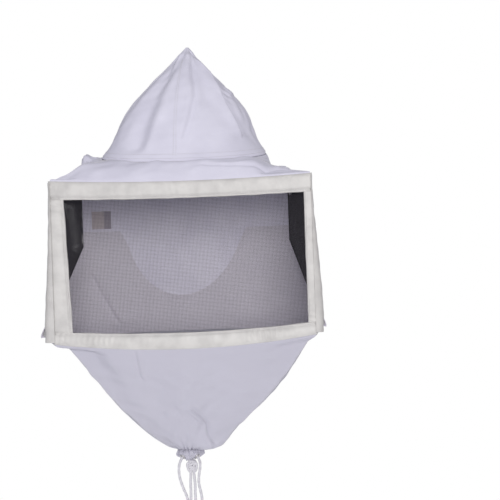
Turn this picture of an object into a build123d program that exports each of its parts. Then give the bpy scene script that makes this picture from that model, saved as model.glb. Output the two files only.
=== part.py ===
from build123d import *
import math
import os

# A square folding beekeeping veil, held up by the tip of its crown. Millimetres.
# Everything is drawn about the middle of the front window (X to the right as the window is faced, Y to the
# back, Z up) and then moved, so that the origin is the tip of the crown.
CROWN_TIP = Vector(15, 100, 349)

# Front window
WINDOW_HALF_WIDTH = 204
WINDOW_HALF_HEIGHT = 126
WINDOW_SAG = 15  # how far the middle of the bottom edge hangs below its corners
TOP_SAG = 6  # the same for the top edge
BINDING_DEPTH = 8
TOP_BINDING = 29
TOP_BINDING_SAG = 4  # of the top binding's lower edge
BOTTOM_BINDING = 20
BOTTOM_BINDING_SAG = 9  # of the bottom binding's upper edge
LEFT_BINDING = 22
RIGHT_BINDING = 14
SCREEN_THICKNESS = 0.8
SCREEN_INSET = 8
FRONT_WIRE = 3
WIRE_INSET = 4
WIRE_CORNER = 8

# Side screens, each hinged on a vertical line behind one edge of the window
HINGE_X = 198
HINGE_Y = 8.4
HINGE_CLEARANCE = 0.4
SIDE_LENGTH = 186
SIDE_THICKNESS = 6
SIDE_TOE_IN = 5.25  # degrees, of the part above the bend
SIDE_FLARE = {"left": 17, "right": 11.25}  # degrees outward, at the bottom edge
SIDE_SIGN = {"left": -1, "right": 1}
BEND_HEIGHT = 26  # below this height the side screens splay outward
SIDE_BINDING = 18
SIDE_WIRE = 2.4
SIDE_WIRE_CORNER = 6
SIDE_WIRE_BEND = 40
TAPE_THICKNESS = 0.8
TAPE_GAP = 0.3
TAPE_REACH = 20  # how far the corner tape runs back along the side screen

# Cloth, thicker than the real cotton and net so that each panel is a sound solid
CLOTH = 1.2
FRONT_SEAM_Y = 3
TOP_SEAM_HEIGHT = 127.8
BOTTOM_SEAM_HEIGHT = -128.2
SEAM_GAP = 1.5  # between the rear panels and the brim above or the skirt below
REAR_GAP = 3.5  # between a side screen's rear edge and the rear panel
REAR_BULGE = 38
REAR_ROUNDNESS = 2.2
FRONT_COLUMNS, SIDE_COLUMNS, REAR_COLUMNS = 6, 4, 10

# Crown: height, middle in X, half width and half depth of each ring, from the base seam to the tip
CROWN_RINGS = (
    (170, 4, 130, 75),
    (205, 6, 116, 70),
    (239, 9, 100, 64),
    (275, 12, 72, 52),
    (311, 14, 37, 32),
    (349, 15, 2, 2),
)
CROWN_Y = 100
BASE_SEAM_SLOPE = 0.227  # the base seam climbs towards the back
SHOULDER_ACROSS, SHOULDER_UP = 0.3, 0.62  # the brim's shoulder, as shares of the way to the base seam
HEADBAND = 1.5
HEADBAND_GAP = 0.6

# Rear panel: cotton above a U-shaped seam, net below it
U_SEAM_HIGH = 50
U_SEAM_LOW = -68
U_SEAM_X = -8
U_SEAM_CURVE = 0.00832
HEADER_BAND = (95, 125)  # heights of the tape along the top of the rear panel, inside
LABEL_COLUMNS = (8.45, 9, 9.62)  # across the rear panel, counted in its columns from the right
LABEL_HEIGHTS = (57, 88)
TAPE_OFF_CLOTH = 0.2

# Skirt and its drawn-up hem
HEM_X, HEM_Y = -4, 100
SKIRT_END_HEIGHT = -313
SKIRT_END_RADIUS = 17
SKIRT_ROWS = 6
SKIRT_FALL = 1.5  # how strongly the skirt bellies before it turns in to the hem
HEM_RADIUS, HEM_THICKNESS, HEM_HEIGHT = 15, 7.5, -322

# Drawstring, eyelets and what hangs from them
CORD = 4.5
HEM_CORD_RADIUS = CORD / 2
CAVITY_CLEARANCE = 0.15
EYELET_TURN = 37  # degrees either side of the front
EYELET_DROP = 35  # degrees below the horizontal
EYELET_HOLE, EYELET_BARREL, EYELET_FLANGE = 2.5, 3.0, 5.0
EYELET_RIM = 1.2
EYELET_SEAT = 1.6  # how far each eyelet's rim is sunk into the casing
BARREL_LENGTH = 2.6
WASHER_DEPTH, WASHER_THICKNESS = 1.4, 0.6
ARC_SHARE = 0.45  # of the shorter run, used by each arc of a cord's path

# Routes of the cord outside the hem
LEFT_ROUTE = (
    (-14.3, 86.3, -323.5),
    (-20.2, 78.5, -330.4),
    (-22.9, 75.4, -341.5),
    (-22.1, 75.3, -356.5),
    (-17.2, 76.4, -373.0),
    (-11.2, 78.0, -388.0),
    (-8.4, 80.0, -403.0),
    (-9.6, 83.4, -417.5),
    (-12.5, 87.0, -431.0),
)
RIGHT_ROUTE = (
    (6.3, 86.3, -323.5),
    (12.0, 78.7, -330.2),
    (12.4, 75.6, -341.0),
    (9.6, 75.4, -354.0),
    (8.6, 76.6, -367.5),
    (11.6, 78.3, -381.0),
    (13.6, 80.2, -394.0),
    (12.6, 82.6, -407.0),
    (13.2, 85.6, -419.5),
    (15.5, 88.5, -431.0),
)
LOOP_ROUTE = (
    (-3.4, 75.4, -352.0),
    (-4.4, 73.6, -367.0),
    (-4.0, 72.4, -385.0),
    (-5.6, 71.4, -402.0),
    (-11.4, 70.6, -419.0),
    (-17.6, 70.0, -435.0),
    (-19.4, 69.6, -452.0),
    (-12.2, 69.4, -465.6),
    (0.6, 69.4, -471.4),
    (13.2, 69.6, -465.0),
    (19.6, 70.0, -450.6),
    (16.8, 70.4, -434.0),
    (9.0, 71.0, -418.0),
    (3.6, 71.8, -402.0),
    (2.6, 72.8, -385.0),
    (3.2, 74.0, -367.0),
    (1.6, 75.6, -352.0),
)
KNOT_MIDDLE = Vector(-1, 79.5, -339.5)
KNOT_SIZE = Vector(14, 10.5, 21)
HANK_TOP = -431
HANK_LENGTH = 84
HANK_WIDTH, HANK_DEPTH = 20, 16
HANK_ROUND = 6
HANK_MIDDLE = {"left": (-13.5, 90), "right": (15.5, 91.5)}
TIE_HEIGHT = 9
TIE_THICKNESS = 1.2
END_KNOT = 9
END_KNOT_GAP = 0.2


def between(a, b, share):
    return a + (b - a) * share


def at_height(point, height):
    return Vector(point.X, point.Y, height)


def outline(front_seam, rear_corners, height):
    """The square plan of the hood as a closed ring of points: front, right, rear and left side in turn."""
    front_x = WINDOW_HALF_WIDTH - FRONT_SEAM_Y
    points = []
    for i in range(FRONT_COLUMNS):
        across = 2 * i / FRONT_COLUMNS - 1
        points.append(Vector(front_x * across, FRONT_SEAM_Y, front_seam(across)))
    for i in range(SIDE_COLUMNS):
        start = Vector(front_x, FRONT_SEAM_Y, front_seam(1))
        points.append(between(start, at_height(rear_corners["right"], height), i / SIDE_COLUMNS))
    for i in range(REAR_COLUMNS):
        points.append(rear_point(2 * i / REAR_COLUMNS - 1, rear_corners, height))
    for i in range(SIDE_COLUMNS):
        end = Vector(-front_x, FRONT_SEAM_Y, front_seam(-1))
        points.append(between(at_height(rear_corners["left"], height), end, i / SIDE_COLUMNS))
    return points


def rear_point(across, rear_corners, height):
    """A point of the rear panel: across runs from -1 at the right corner to 1 at the left one."""
    point = between(rear_corners["right"], rear_corners["left"], (across + 1) / 2)
    return Vector(point.X, point.Y + REAR_BULGE * (1 - abs(across) ** REAR_ROUNDNESS), height)


def ellipse_ring(middle, half_width, half_depth, slope, towards):
    """Points of a tilted ellipse, each in the direction of one point of the ring below it."""
    points = []
    for point in towards:
        x, y = point.X - middle.X, point.Y - middle.Y
        reach = 1 / math.hypot(x / half_width, y / half_depth)
        points.append(middle + Vector(x * reach, y * reach, slope * y * reach))
    return points


def inner_rows(rows, middle, depth):
    """The rows of a cloth surface, each point moved in along the surface's normal."""
    result = []
    count = len(rows[0])
    for i, row in enumerate(rows):
        above, below = rows[max(i - 1, 0)], rows[min(i + 1, len(rows) - 1)]
        moved = []
        for j, point in enumerate(row):
            along = row[(j + 1) % count] - row[j - 1]
            normal = along.cross(below[j] - above[j]).normalized()
            if normal.dot(middle - point) < 0:
                normal = normal * -1
            moved.append(point + normal * depth)
        result.append(moved)
    return result


def triangle(a, b, c):
    return Face(Wire.make_polygon([a, b, c], close=True))


def patch(a, b, c, d):
    return [triangle(a, b, c), triangle(a, c, d)]


def cloth(outer, inner, first=0, last=None):
    """A closed solid of cloth between two sets of rows, from column first to column last, or all round."""
    count = len(outer[0])
    closed = last is None
    columns = [(first + j) % count for j in range(count + 1 if closed else last - first + 1)]
    faces = []
    for i in range(len(outer) - 1):
        for j, k in zip(columns, columns[1:]):
            faces += patch(outer[i][j], outer[i][k], outer[i + 1][k], outer[i + 1][j])
            faces += patch(inner[i][j], inner[i][k], inner[i + 1][k], inner[i + 1][j])
    for i in (0, len(outer) - 1):
        for j, k in zip(columns, columns[1:]):
            faces += patch(outer[i][j], outer[i][k], inner[i][k], inner[i][j])
    if not closed:
        for j in (columns[0], columns[-1]):
            for i in range(len(outer) - 1):
                faces += patch(outer[i][j], outer[i + 1][j], inner[i + 1][j], inner[i][j])
    return Solid(Shell(faces))


def front_plate(outline_faces, low, high):
    """A flat piece of the window between two depths, from its outline in the plane of the window."""
    return Pos(0, high, 0) * extrude(Plane.XZ * outline_faces, high - low)


def sagging_outline(half_width, top, top_sag, bottom, bottom_sag):
    """A rectangle whose top and bottom edges hang in an arc."""
    return make_face(
        [
            Line((-half_width, bottom), (-half_width, top)),
            ThreePointArc((-half_width, top), (0, top - top_sag), (half_width, top)),
            Line((half_width, top), (half_width, bottom)),
            ThreePointArc((half_width, bottom), (0, bottom - bottom_sag), (-half_width, bottom)),
        ]
    )


def front_window():
    """The wire frame, the screen and the four bindings of the front window."""
    middle_y = BINDING_DEPTH / 2
    screen = front_plate(
        sagging_outline(
            WINDOW_HALF_WIDTH - SCREEN_INSET,
            WINDOW_HALF_HEIGHT - SCREEN_INSET,
            TOP_SAG - 1,
            SCREEN_INSET - WINDOW_HALF_HEIGHT,
            WINDOW_SAG - 1,
        ),
        middle_y - SCREEN_THICKNESS / 2,
        middle_y + SCREEN_THICKNESS / 2,
    )
    wire_outline = sagging_outline(
        WINDOW_HALF_WIDTH - WIRE_INSET,
        WINDOW_HALF_HEIGHT - WIRE_INSET,
        TOP_SAG,
        WIRE_INSET - WINDOW_HALF_HEIGHT,
        WINDOW_SAG,
    )
    wire_outline = fillet(wire_outline.vertices(), WIRE_CORNER)
    path = Pos(0, middle_y, 0) * (Plane.XZ * wire_outline.face().outer_wire())
    start = path.edges().sort_by(Axis.Z)[-1]
    wire = sweep(Plane(origin=start @ 0.5, z_dir=start % 0.5) * Circle(FRONT_WIRE / 2), path=path)

    whole = sagging_outline(
        WINDOW_HALF_WIDTH, WINDOW_HALF_HEIGHT, TOP_SAG, -WINDOW_HALF_HEIGHT, WINDOW_SAG
    )
    opening = sagging_outline(
        WINDOW_HALF_WIDTH,
        WINDOW_HALF_HEIGHT - TOP_BINDING,
        TOP_BINDING_SAG,
        BOTTOM_BINDING - WINDOW_HALF_HEIGHT,
        BOTTOM_BINDING_SAG,
    )
    upper = Pos(0, WINDOW_HALF_HEIGHT) * Rectangle(2 * WINDOW_HALF_WIDTH, 2 * WINDOW_HALF_HEIGHT)
    left = Pos(-WINDOW_HALF_WIDTH) * Rectangle(2 * LEFT_BINDING, 4 * WINDOW_HALF_HEIGHT)
    right = Pos(WINDOW_HALF_WIDTH) * Rectangle(2 * RIGHT_BINDING, 4 * WINDOW_HALF_HEIGHT)
    outlines = {
        "top": (whole - opening) & upper,
        "bottom": whole - opening - upper,
        "left": opening & left,
        "right": opening & right,
    }
    pieces = {"front_wire_frame": wire, "front_screen": screen}
    for name, strip in outlines.items():
        pieces[f"front_binding_{name}"] = front_plate(strip, 0, BINDING_DEPTH) - screen - wire
    return pieces


def side_point(side, along, out, height):
    """A point of a side screen: along it from the hinge, out through its thickness, and up."""
    bottom = -WINDOW_HALF_HEIGHT
    splay = min(max((BEND_HEIGHT - height) / (BEND_HEIGHT - bottom), 0), 1)
    toe_in, flare = math.radians(-SIDE_TOE_IN), math.radians(SIDE_FLARE[side])
    sideways = between(math.sin(toe_in), math.sin(flare), splay)
    back = between(math.cos(toe_in), math.cos(flare), splay)
    return Vector(SIDE_SIGN[side] * (HINGE_X + out + along * sideways), HINGE_Y + along * back, height)


def side_slab(side, along, out, heights):
    """A slab of a side screen between two distances, two depths and two heights, bent at the bend height."""
    low, high = heights
    levels = [low, BEND_HEIGHT, high] if low < BEND_HEIGHT < high else [low, high]
    slab = None
    for bottom, top in zip(levels, levels[1:]):
        sections = []
        for height in (bottom, top):
            corners = [
                side_point(side, along[0], out[0], height),
                side_point(side, along[1], out[0], height),
                side_point(side, along[1], out[1], height),
                side_point(side, along[0], out[1], height),
            ]
            sections.append(Wire.make_polygon(corners, close=True))
        piece = Solid.make_loft(sections, ruled=True)
        slab = piece if slab is None else slab + piece
    return slab


def side_screen(side):
    """The wire frame, the screen and the four bindings of one side screen."""
    middle = SIDE_THICKNESS / 2
    edge = WINDOW_HALF_HEIGHT
    screen = side_slab(
        side,
        (SCREEN_INSET, SIDE_LENGTH - SCREEN_INSET + 1),
        (middle - SCREEN_THICKNESS / 2, middle + SCREEN_THICKNESS / 2),
        (SCREEN_INSET - edge, edge - SCREEN_INSET),
    )
    inset = SIDE_WIRE + 1
    near, far = inset, SIDE_LENGTH - SIDE_WIRE
    corners = ((near, -20), (near, edge - 3), (far, edge - 3), (far, BEND_HEIGHT), (far, 3 - edge), (near, 3 - edge))
    points = [side_point(side, along, middle, height) for along, height in corners]
    points.append(between(points[-1], points[0], 0.95))
    radii = [SIDE_WIRE_CORNER, SIDE_WIRE_CORNER, SIDE_WIRE_BEND, SIDE_WIRE_CORNER, SIDE_WIRE_CORNER]
    wire = tube(FilletPolyline(*points, radius=radii), SIDE_WIRE)

    thickness = (0, SIDE_THICKNESS)
    low, high = BOTTOM_BINDING - edge, edge - TOP_BINDING
    strips = {
        "top": ((HINGE_CLEARANCE, SIDE_LENGTH), (high, edge)),
        "bottom": ((HINGE_CLEARANCE, SIDE_LENGTH), (-edge, low)),
        "front": ((HINGE_CLEARANCE, SIDE_BINDING), (low, high)),
        "rear": ((SIDE_LENGTH - SIDE_BINDING, SIDE_LENGTH), (low, high)),
    }
    pieces = {f"{side}_side_wire_frame": wire, f"{side}_side_screen": screen}
    for name, (along, heights) in strips.items():
        pieces[f"{side}_side_binding_{name}"] = side_slab(side, along, thickness, heights) - screen - wire
    return pieces


def corner_tape(side):
    """The strip of cloth that hinges a side screen to the window, as it lies when the screen is open."""
    half = WINDOW_HALF_HEIGHT - 2
    out = SIDE_THICKNESS + TAPE_GAP
    tape = side_slab(side, (HINGE_CLEARANCE, TAPE_REACH), (out, out + TAPE_THICKNESS), (-half, half))
    depth = HINGE_Y + HINGE_CLEARANCE
    middle_x = SIDE_SIGN[side] * (HINGE_X + out + TAPE_THICKNESS / 2)
    return tape + Pos(middle_x, depth / 2, 0) * Box(TAPE_THICKNESS, depth, 2 * half)


def hood_cloth():
    """The crown's gores, the elastic head band, the brim, the rear panel and the skirt."""
    behind = Vector(0, REAR_GAP, 0)
    middle = SIDE_THICKNESS / 2
    top_corners = {side: side_point(side, SIDE_LENGTH, middle, BEND_HEIGHT) + behind for side in SIDE_SIGN}
    low_corners = {side: side_point(side, SIDE_LENGTH, middle, BOTTOM_SEAM_HEIGHT) + behind for side in SIDE_SIGN}
    pieces = {}

    def brim_seam(across):
        return TOP_SEAM_HEIGHT - TOP_SAG * (1 - across**2)

    brim_edge = outline(brim_seam, top_corners, TOP_SEAM_HEIGHT)
    crown = []
    for height, x, half_width, half_depth in CROWN_RINGS:
        rise = (height - CROWN_RINGS[0][0]) / (CROWN_RINGS[-1][0] - CROWN_RINGS[0][0])
        slope = BASE_SEAM_SLOPE * (1 - rise)
        crown.append(ellipse_ring(Vector(x, CROWN_Y, height), half_width, half_depth, slope, brim_edge))
    inside = Vector(0, CROWN_Y, CROWN_RINGS[0][0])
    crown_inside = inner_rows(crown, inside, CLOTH)
    front_middle = FRONT_COLUMNS // 2
    right_middle = FRONT_COLUMNS + SIDE_COLUMNS // 2
    rear_middle = FRONT_COLUMNS + SIDE_COLUMNS + REAR_COLUMNS // 2
    left_middle = len(brim_edge) - SIDE_COLUMNS // 2
    gores = {
        "front_right": (front_middle, right_middle),
        "rear_right": (right_middle, rear_middle),
        "rear_left": (rear_middle, left_middle),
        "front_left": (left_middle, front_middle + len(brim_edge)),
    }
    for name, (first, last) in gores.items():
        pieces[f"crown_gore_{name}"] = cloth(crown, crown_inside, first, last)

    band = [
        [between(low, high, share) for low, high in zip(crown[0], crown[1])]
        for share in (0.55, 0.05)
    ]
    band_outside = inner_rows(band, inside, CLOTH + HEADBAND_GAP)
    band_inside = inner_rows(band, inside, CLOTH + HEADBAND_GAP + HEADBAND)
    pieces["headband_elastic"] = cloth(band_outside, band_inside)

    shoulder = []
    for edge, seam in zip(brim_edge, crown[0]):
        point = between(edge, seam, SHOULDER_ACROSS)
        shoulder.append(Vector(point.X, point.Y, between(edge.Z, seam.Z, SHOULDER_UP)))
    brim = [crown[0], shoulder, brim_edge]
    brim_inside = inner_rows(brim, Vector(0, CROWN_Y, 0), CLOTH)
    front_right = FRONT_COLUMNS
    rear_right = front_right + SIDE_COLUMNS
    rear_left = rear_right + REAR_COLUMNS
    sides = {
        "front": (0, front_right),
        "right": (front_right, rear_right),
        "rear": (rear_right, rear_left),
        "left": (rear_left, len(brim_edge)),
    }
    for name, (first, last) in sides.items():
        pieces[f"brim_{name}"] = cloth(brim, brim_inside, first, last)

    rear_top = TOP_SEAM_HEIGHT - SEAM_GAP
    rear_low = BOTTOM_SEAM_HEIGHT + SEAM_GAP
    upper, lower = [], []
    for i in range(REAR_COLUMNS + 1):
        across = 2 * i / REAR_COLUMNS - 1
        seam_x = rear_point(across, top_corners, 0).X - U_SEAM_X
        seam = min(U_SEAM_HIGH, U_SEAM_LOW + U_SEAM_CURVE * seam_x**2)
        bend = min(seam - 10, BEND_HEIGHT)
        upper.append([rear_top, between(rear_top, seam, 0.5), seam])
        lower.append([seam, bend, between(bend, rear_low, 0.5), rear_low])

    def rear_rows(heights_by_column):
        rows = []
        for heights in zip(*heights_by_column):
            row = []
            for i, height in enumerate(heights):
                splay = min(max((BEND_HEIGHT - height) / (BEND_HEIGHT - rear_low), 0), 1)
                corners = {side: between(top_corners[side], low_corners[side], splay) for side in SIDE_SIGN}
                row.append(rear_point(2 * i / REAR_COLUMNS - 1, corners, height))
            rows.append(row)
        return rows

    back = Vector(0, CLOTH, 0)
    for name, heights in (("rear_cloth", upper), ("rear_net", lower)):
        rows = rear_rows(heights)
        inner = [[point - back for point in row] for row in rows]
        pieces[name] = cloth(rows, inner, 0, REAR_COLUMNS)

    def rear_tape(columns, heights, thickness):
        """A strip on the inside of the rear panel, above the bend."""
        rows = []
        for height in heights:
            row = []
            for column in columns:
                i = min(int(column), REAR_COLUMNS - 1)
                ends = [rear_point(2 * k / REAR_COLUMNS - 1, top_corners, height) for k in (i, i + 1)]
                row.append(between(*ends, column - i) - back * (1 + TAPE_OFF_CLOTH / CLOTH))
            rows.append(row)
        inner = [[point - back * (thickness / CLOTH) for point in row] for row in rows]
        return cloth(rows, inner, 0, len(columns) - 1)

    pieces["rear_header_band"] = rear_tape(range(REAR_COLUMNS + 1), HEADER_BAND, TAPE_THICKNESS)
    pieces["care_label"] = rear_tape(LABEL_COLUMNS, LABEL_HEIGHTS, TAPE_THICKNESS)

    def skirt_seam(across):
        return BOTTOM_SEAM_HEIGHT - WINDOW_SAG * (1 - across**2)

    skirt_edge = outline(skirt_seam, low_corners, BOTTOM_SEAM_HEIGHT)
    hem_middle = Vector(HEM_X, HEM_Y, SKIRT_END_HEIGHT)
    hem_ring = ellipse_ring(hem_middle, SKIRT_END_RADIUS, SKIRT_END_RADIUS, 0, skirt_edge)
    skirt = []
    for i in range(SKIRT_ROWS + 1):
        share = i / SKIRT_ROWS
        fall = 1 - (1 - share) ** SKIRT_FALL
        row = []
        for edge, end in zip(skirt_edge, hem_ring):
            point = between(edge, end, share)
            row.append(Vector(point.X, point.Y, between(edge.Z, end.Z, fall)))
        skirt.append(row)
    skirt_inside = inner_rows(skirt, Vector(HEM_X, HEM_Y, 0), CLOTH)
    for name, (first, last) in sides.items():
        pieces[f"skirt_{name}"] = cloth(skirt, skirt_inside, first, last)
    return pieces


def tube(path, diameter):
    return sweep(Plane(origin=path @ 0, z_dir=path % 0) * Circle(diameter / 2), path=path)


def cord_path(route):
    """Straight runs joined by arcs, each arc as large as its two runs allow."""
    points = [Vector(*point) for point in route]
    radii = []
    for before, point, after in zip(points, points[1:], points[2:]):
        turn = (point - before).get_angle(after - point)
        shorter = min((point - before).length, (after - point).length)
        radii.append(ARC_SHARE * shorter / math.tan(math.radians(turn) / 2))
    return FilletPolyline(*points, radius=radii), radii


def hem_tube_middle(turn):
    """A point on the middle line of the hem casing, turned from the front."""
    angle = math.radians(turn)
    return Vector(HEM_X + HEM_RADIUS * math.sin(angle), HEM_Y - HEM_RADIUS * math.cos(angle), HEM_HEIGHT)


def hem_and_eyelets():
    """The hem's casing, the cord inside it, and two eyelets, each with its washer."""
    middle = Pos(HEM_X, HEM_Y, HEM_HEIGHT)
    casing = middle * Torus(HEM_RADIUS, HEM_THICKNESS)
    casing -= middle * Torus(HEM_RADIUS, HEM_CORD_RADIUS + CAVITY_CLEARANCE)
    pieces = {}
    drop = math.radians(EYELET_DROP)
    for side, sign in SIDE_SIGN.items():
        turn = math.radians(sign * EYELET_TURN)
        outward = Vector(math.sin(turn) * math.cos(drop), -math.cos(turn) * math.cos(drop), -math.sin(drop))
        inside = hem_tube_middle(sign * EYELET_TURN)
        face = Plane(origin=inside + outward * (HEM_THICKNESS - EYELET_SEAT), z_dir=outward)
        seat = extrude(face * Circle(EYELET_FLANGE), 2 * EYELET_SEAT)
        rim = extrude(face * Circle(EYELET_FLANGE), EYELET_RIM)
        barrel = extrude(face * Circle(EYELET_BARREL), -BARREL_LENGTH)
        hole = extrude(face.offset(EYELET_RIM) * Circle(EYELET_HOLE), 1 - HEM_THICKNESS)
        washer_face = face.offset(-WASHER_DEPTH)
        washer = extrude(washer_face * (Circle(EYELET_FLANGE) - Circle(EYELET_BARREL)), -WASHER_THICKNESS)
        eyelet = rim + barrel - hole
        for tool in (seat, barrel, washer, hole):
            casing -= tool
        pieces[f"eyelet_{side}"] = eyelet
        pieces[f"eyelet_washer_{side}"] = washer
    start, middle_point, end = (hem_tube_middle(turn) for turn in (-EYELET_TURN, 180, EYELET_TURN))
    pieces["hem_casing"] = casing
    pieces["hem_drawstring"] = tube(ThreePointArc(start, middle_point, end), CORD)
    return pieces


def hanging_cords():
    """The drawstring's two ends, its bow loop and knot, and the hank that each end is put away in."""
    pieces = {}
    routes = {"cord_left": LEFT_ROUTE, "cord_right": RIGHT_ROUTE, "bow_loop": LOOP_ROUTE}
    for name, route in routes.items():
        path, radii = cord_path(route)
        solid = tube(path, CORD)
        share = solid.volume / (math.pi * CORD**2 / 4 * path.length)
        print(name, "length", round(path.length, 1), "volume share", round(share, 4))
        print("  radii", [round(radius, 1) for radius in radii])
        pieces[name] = solid
    knot = Sphere(0.5)
    stretched = scale(knot, by=(KNOT_SIZE.X, KNOT_SIZE.Y, KNOT_SIZE.Z))
    pieces["bow_knot"] = Pos(*KNOT_MIDDLE) * stretched - pieces["bow_loop"]
    for side, (x, y) in HANK_MIDDLE.items():
        middle = Pos(x, y, HANK_TOP - HANK_LENGTH / 2)
        hank = Box(HANK_WIDTH, HANK_DEPTH, HANK_LENGTH)
        hank = fillet(hank.edges(), HANK_ROUND)
        ring = RectangleRounded(HANK_WIDTH + 2 * TIE_THICKNESS, HANK_DEPTH + 2 * TIE_THICKNESS, HANK_ROUND)
        gap = RectangleRounded(HANK_WIDTH, HANK_DEPTH, HANK_ROUND)
        tie = Pos(0, 0, -TIE_HEIGHT / 2) * extrude(ring - gap, TIE_HEIGHT)
        pieces[f"hank_{side}"] = middle * hank - pieces[f"cord_{side}"]
        pieces[f"hank_tie_{side}"] = middle * tie
        low = HANK_TOP - HANK_LENGTH - END_KNOT / 2 - END_KNOT_GAP
        pieces[f"end_knot_{side}"] = Pos(x, y, low) * Sphere(END_KNOT / 2)
    return pieces


def build():
    pieces = front_window()
    for side in SIDE_SIGN:
        pieces |= side_screen(side)
        pieces[f"corner_tape_{side}"] = corner_tape(side)
    pieces |= hood_cloth()
    pieces |= hem_and_eyelets()
    pieces |= hanging_cords()
    return pieces


os.makedirs("parts", exist_ok=True)
for node, shape in build().items():
    export_step(Pos(*(CROWN_TIP * -1)) * shape, f"parts/{node}.step")
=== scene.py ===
import math

import bpy
import numpy as np
from mathutils import Matrix, Vector


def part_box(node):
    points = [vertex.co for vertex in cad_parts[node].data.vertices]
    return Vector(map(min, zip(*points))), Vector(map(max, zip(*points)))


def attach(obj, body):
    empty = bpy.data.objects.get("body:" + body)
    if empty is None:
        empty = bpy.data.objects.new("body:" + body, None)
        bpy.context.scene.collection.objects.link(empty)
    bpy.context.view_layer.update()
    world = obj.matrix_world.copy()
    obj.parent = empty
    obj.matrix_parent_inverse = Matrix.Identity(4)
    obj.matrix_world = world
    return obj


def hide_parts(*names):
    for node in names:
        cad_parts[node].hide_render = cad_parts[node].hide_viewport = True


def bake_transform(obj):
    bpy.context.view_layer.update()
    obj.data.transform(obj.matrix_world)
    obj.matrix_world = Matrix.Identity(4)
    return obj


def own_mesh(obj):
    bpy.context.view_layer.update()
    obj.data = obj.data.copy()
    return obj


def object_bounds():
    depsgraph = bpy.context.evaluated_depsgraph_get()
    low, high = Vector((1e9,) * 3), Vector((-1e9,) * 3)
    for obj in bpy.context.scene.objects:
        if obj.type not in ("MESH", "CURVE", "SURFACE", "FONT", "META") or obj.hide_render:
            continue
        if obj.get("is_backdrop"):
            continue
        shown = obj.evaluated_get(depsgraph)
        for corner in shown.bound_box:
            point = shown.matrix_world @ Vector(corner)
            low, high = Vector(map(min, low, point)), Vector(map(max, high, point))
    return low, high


# The looks of a square folding beekeeping veil, made around its CAD frame.
# Shapes are worked out in millimetres about the middle of the front window, X to the right as the window is
# faced, Y to the back and Z up, as in the CAD source. They go into the frame, in metres, as meshes are made.

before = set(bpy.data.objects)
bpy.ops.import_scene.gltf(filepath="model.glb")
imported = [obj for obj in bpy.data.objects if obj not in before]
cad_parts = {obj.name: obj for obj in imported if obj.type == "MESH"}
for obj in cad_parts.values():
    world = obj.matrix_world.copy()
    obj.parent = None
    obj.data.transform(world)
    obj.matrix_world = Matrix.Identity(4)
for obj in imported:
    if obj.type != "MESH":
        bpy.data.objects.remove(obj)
cad_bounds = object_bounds()

MM = 1000
TAU = 2 * math.pi


def node_box(node):
    low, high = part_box(node)
    return np.array(low) * MM, np.array(high) * MM


# ---------------------------------------------------------------- sizes, from the frame where it has them
top_low, top_high = node_box("front_binding_top")
side_low, side_high = node_box("left_side_binding_bottom")[0], node_box("left_side_binding_top")[1]
HALF_WIDTH = (top_high[0] - top_low[0]) / 2
WINDOW_DEPTH = top_high[1] - top_low[1]
HALF_HEIGHT = (side_high[2] - side_low[2]) / 2
MIDDLE = np.array(((top_low[0] + top_high[0]) / 2, top_low[1], (side_low[2] + side_high[2]) / 2))

WINDOW_SAG, TOP_SAG = 15, 6  # how far the middles of the bottom and top edges hang
TOP_BINDING, TOP_BINDING_SAG = 29, 4
BOTTOM_BINDING, BOTTOM_BINDING_SAG = 20, 9
LEFT_BINDING, RIGHT_BINDING = 22.5, 14
LEFT_SLANT = 8  # how much wider the left strip is at its foot
HINGE_X, HINGE_Y = 198, 8.4
RIBBON_HEIGHTS = (-126, -107, 0, 98, 126)
RIBBON_SLACK = {"left": (11, 11.5, 6, 2.2, 1.5), "right": (8, 9.5, 6.5, 1.2, 0.8)}
SIDE_LENGTH, SIDE_THICKNESS, SIDE_BINDING = 186, 6, 18
SIDE_TOE_IN = 5.25
SIDE_FLARE = {"left": 17, "right": 11.25}
SIDE_SIGN = {"left": -1, "right": 1}
BEND_HEIGHT = 26
REAR_GAP, REAR_BULGE, REAR_ROUNDNESS = 3.5, 38, 2.2
FRONT_SEAM_Y = 3
TOP_SEAM, BOTTOM_SEAM = 127.8, -128.2
SEWN_IN = 4  # how far a panel's edge goes into the binding it is sewn to
CLOTH, NET, TAPE = 0.7, 0.6, 0.8
BAND_GAP, BAND_THICKNESS = 1.0, 1.2  # of the head band, inside the crown
BRIM_OVER_REAR, SKIRT_OVER_REAR = 2.2, 2.4  # how far outside the rear panel their rear edges hang

# Crown rings: height, middle in X, half width and half depth
CROWN_RINGS = (
    (170, 4, 130, 75),
    (205, 6, 116, 70),
    (239, 9, 100, 64),
    (275, 12, 72, 52),
    (311, 14, 37, 32),
    (349, 15, 2, 2),
)
CROWN_Y = 100
BASE_HEIGHT = CROWN_RINGS[0][0]
BASE_SEAM_SLOPE = 0.227
# How soon the brim rises to the base seam, at turns round the hood: the larger, the sooner
SHOULDER_TURNS = (0, 0.5, 1, 1.4, 1.75, 2.0, 2.5, 3.0, 3.4, 4)
SHOULDERS = (2.4, 2.71, 2.4, 1.3, 0.95, 0.95, 2.3, 1.6, 1.7, 2.4)

HEM = np.array((-4, 100, -322))
HEM_RADIUS, HEM_THICKNESS = 15, 7.2
SKIRT_END_HEIGHT, SKIRT_END_RADIUS, SKIRT_FALL = -313, 17, 1.5
EYELET_TURN, EYELET_DROP, EYELET_SEAT = 37, 35, 5.9

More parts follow.
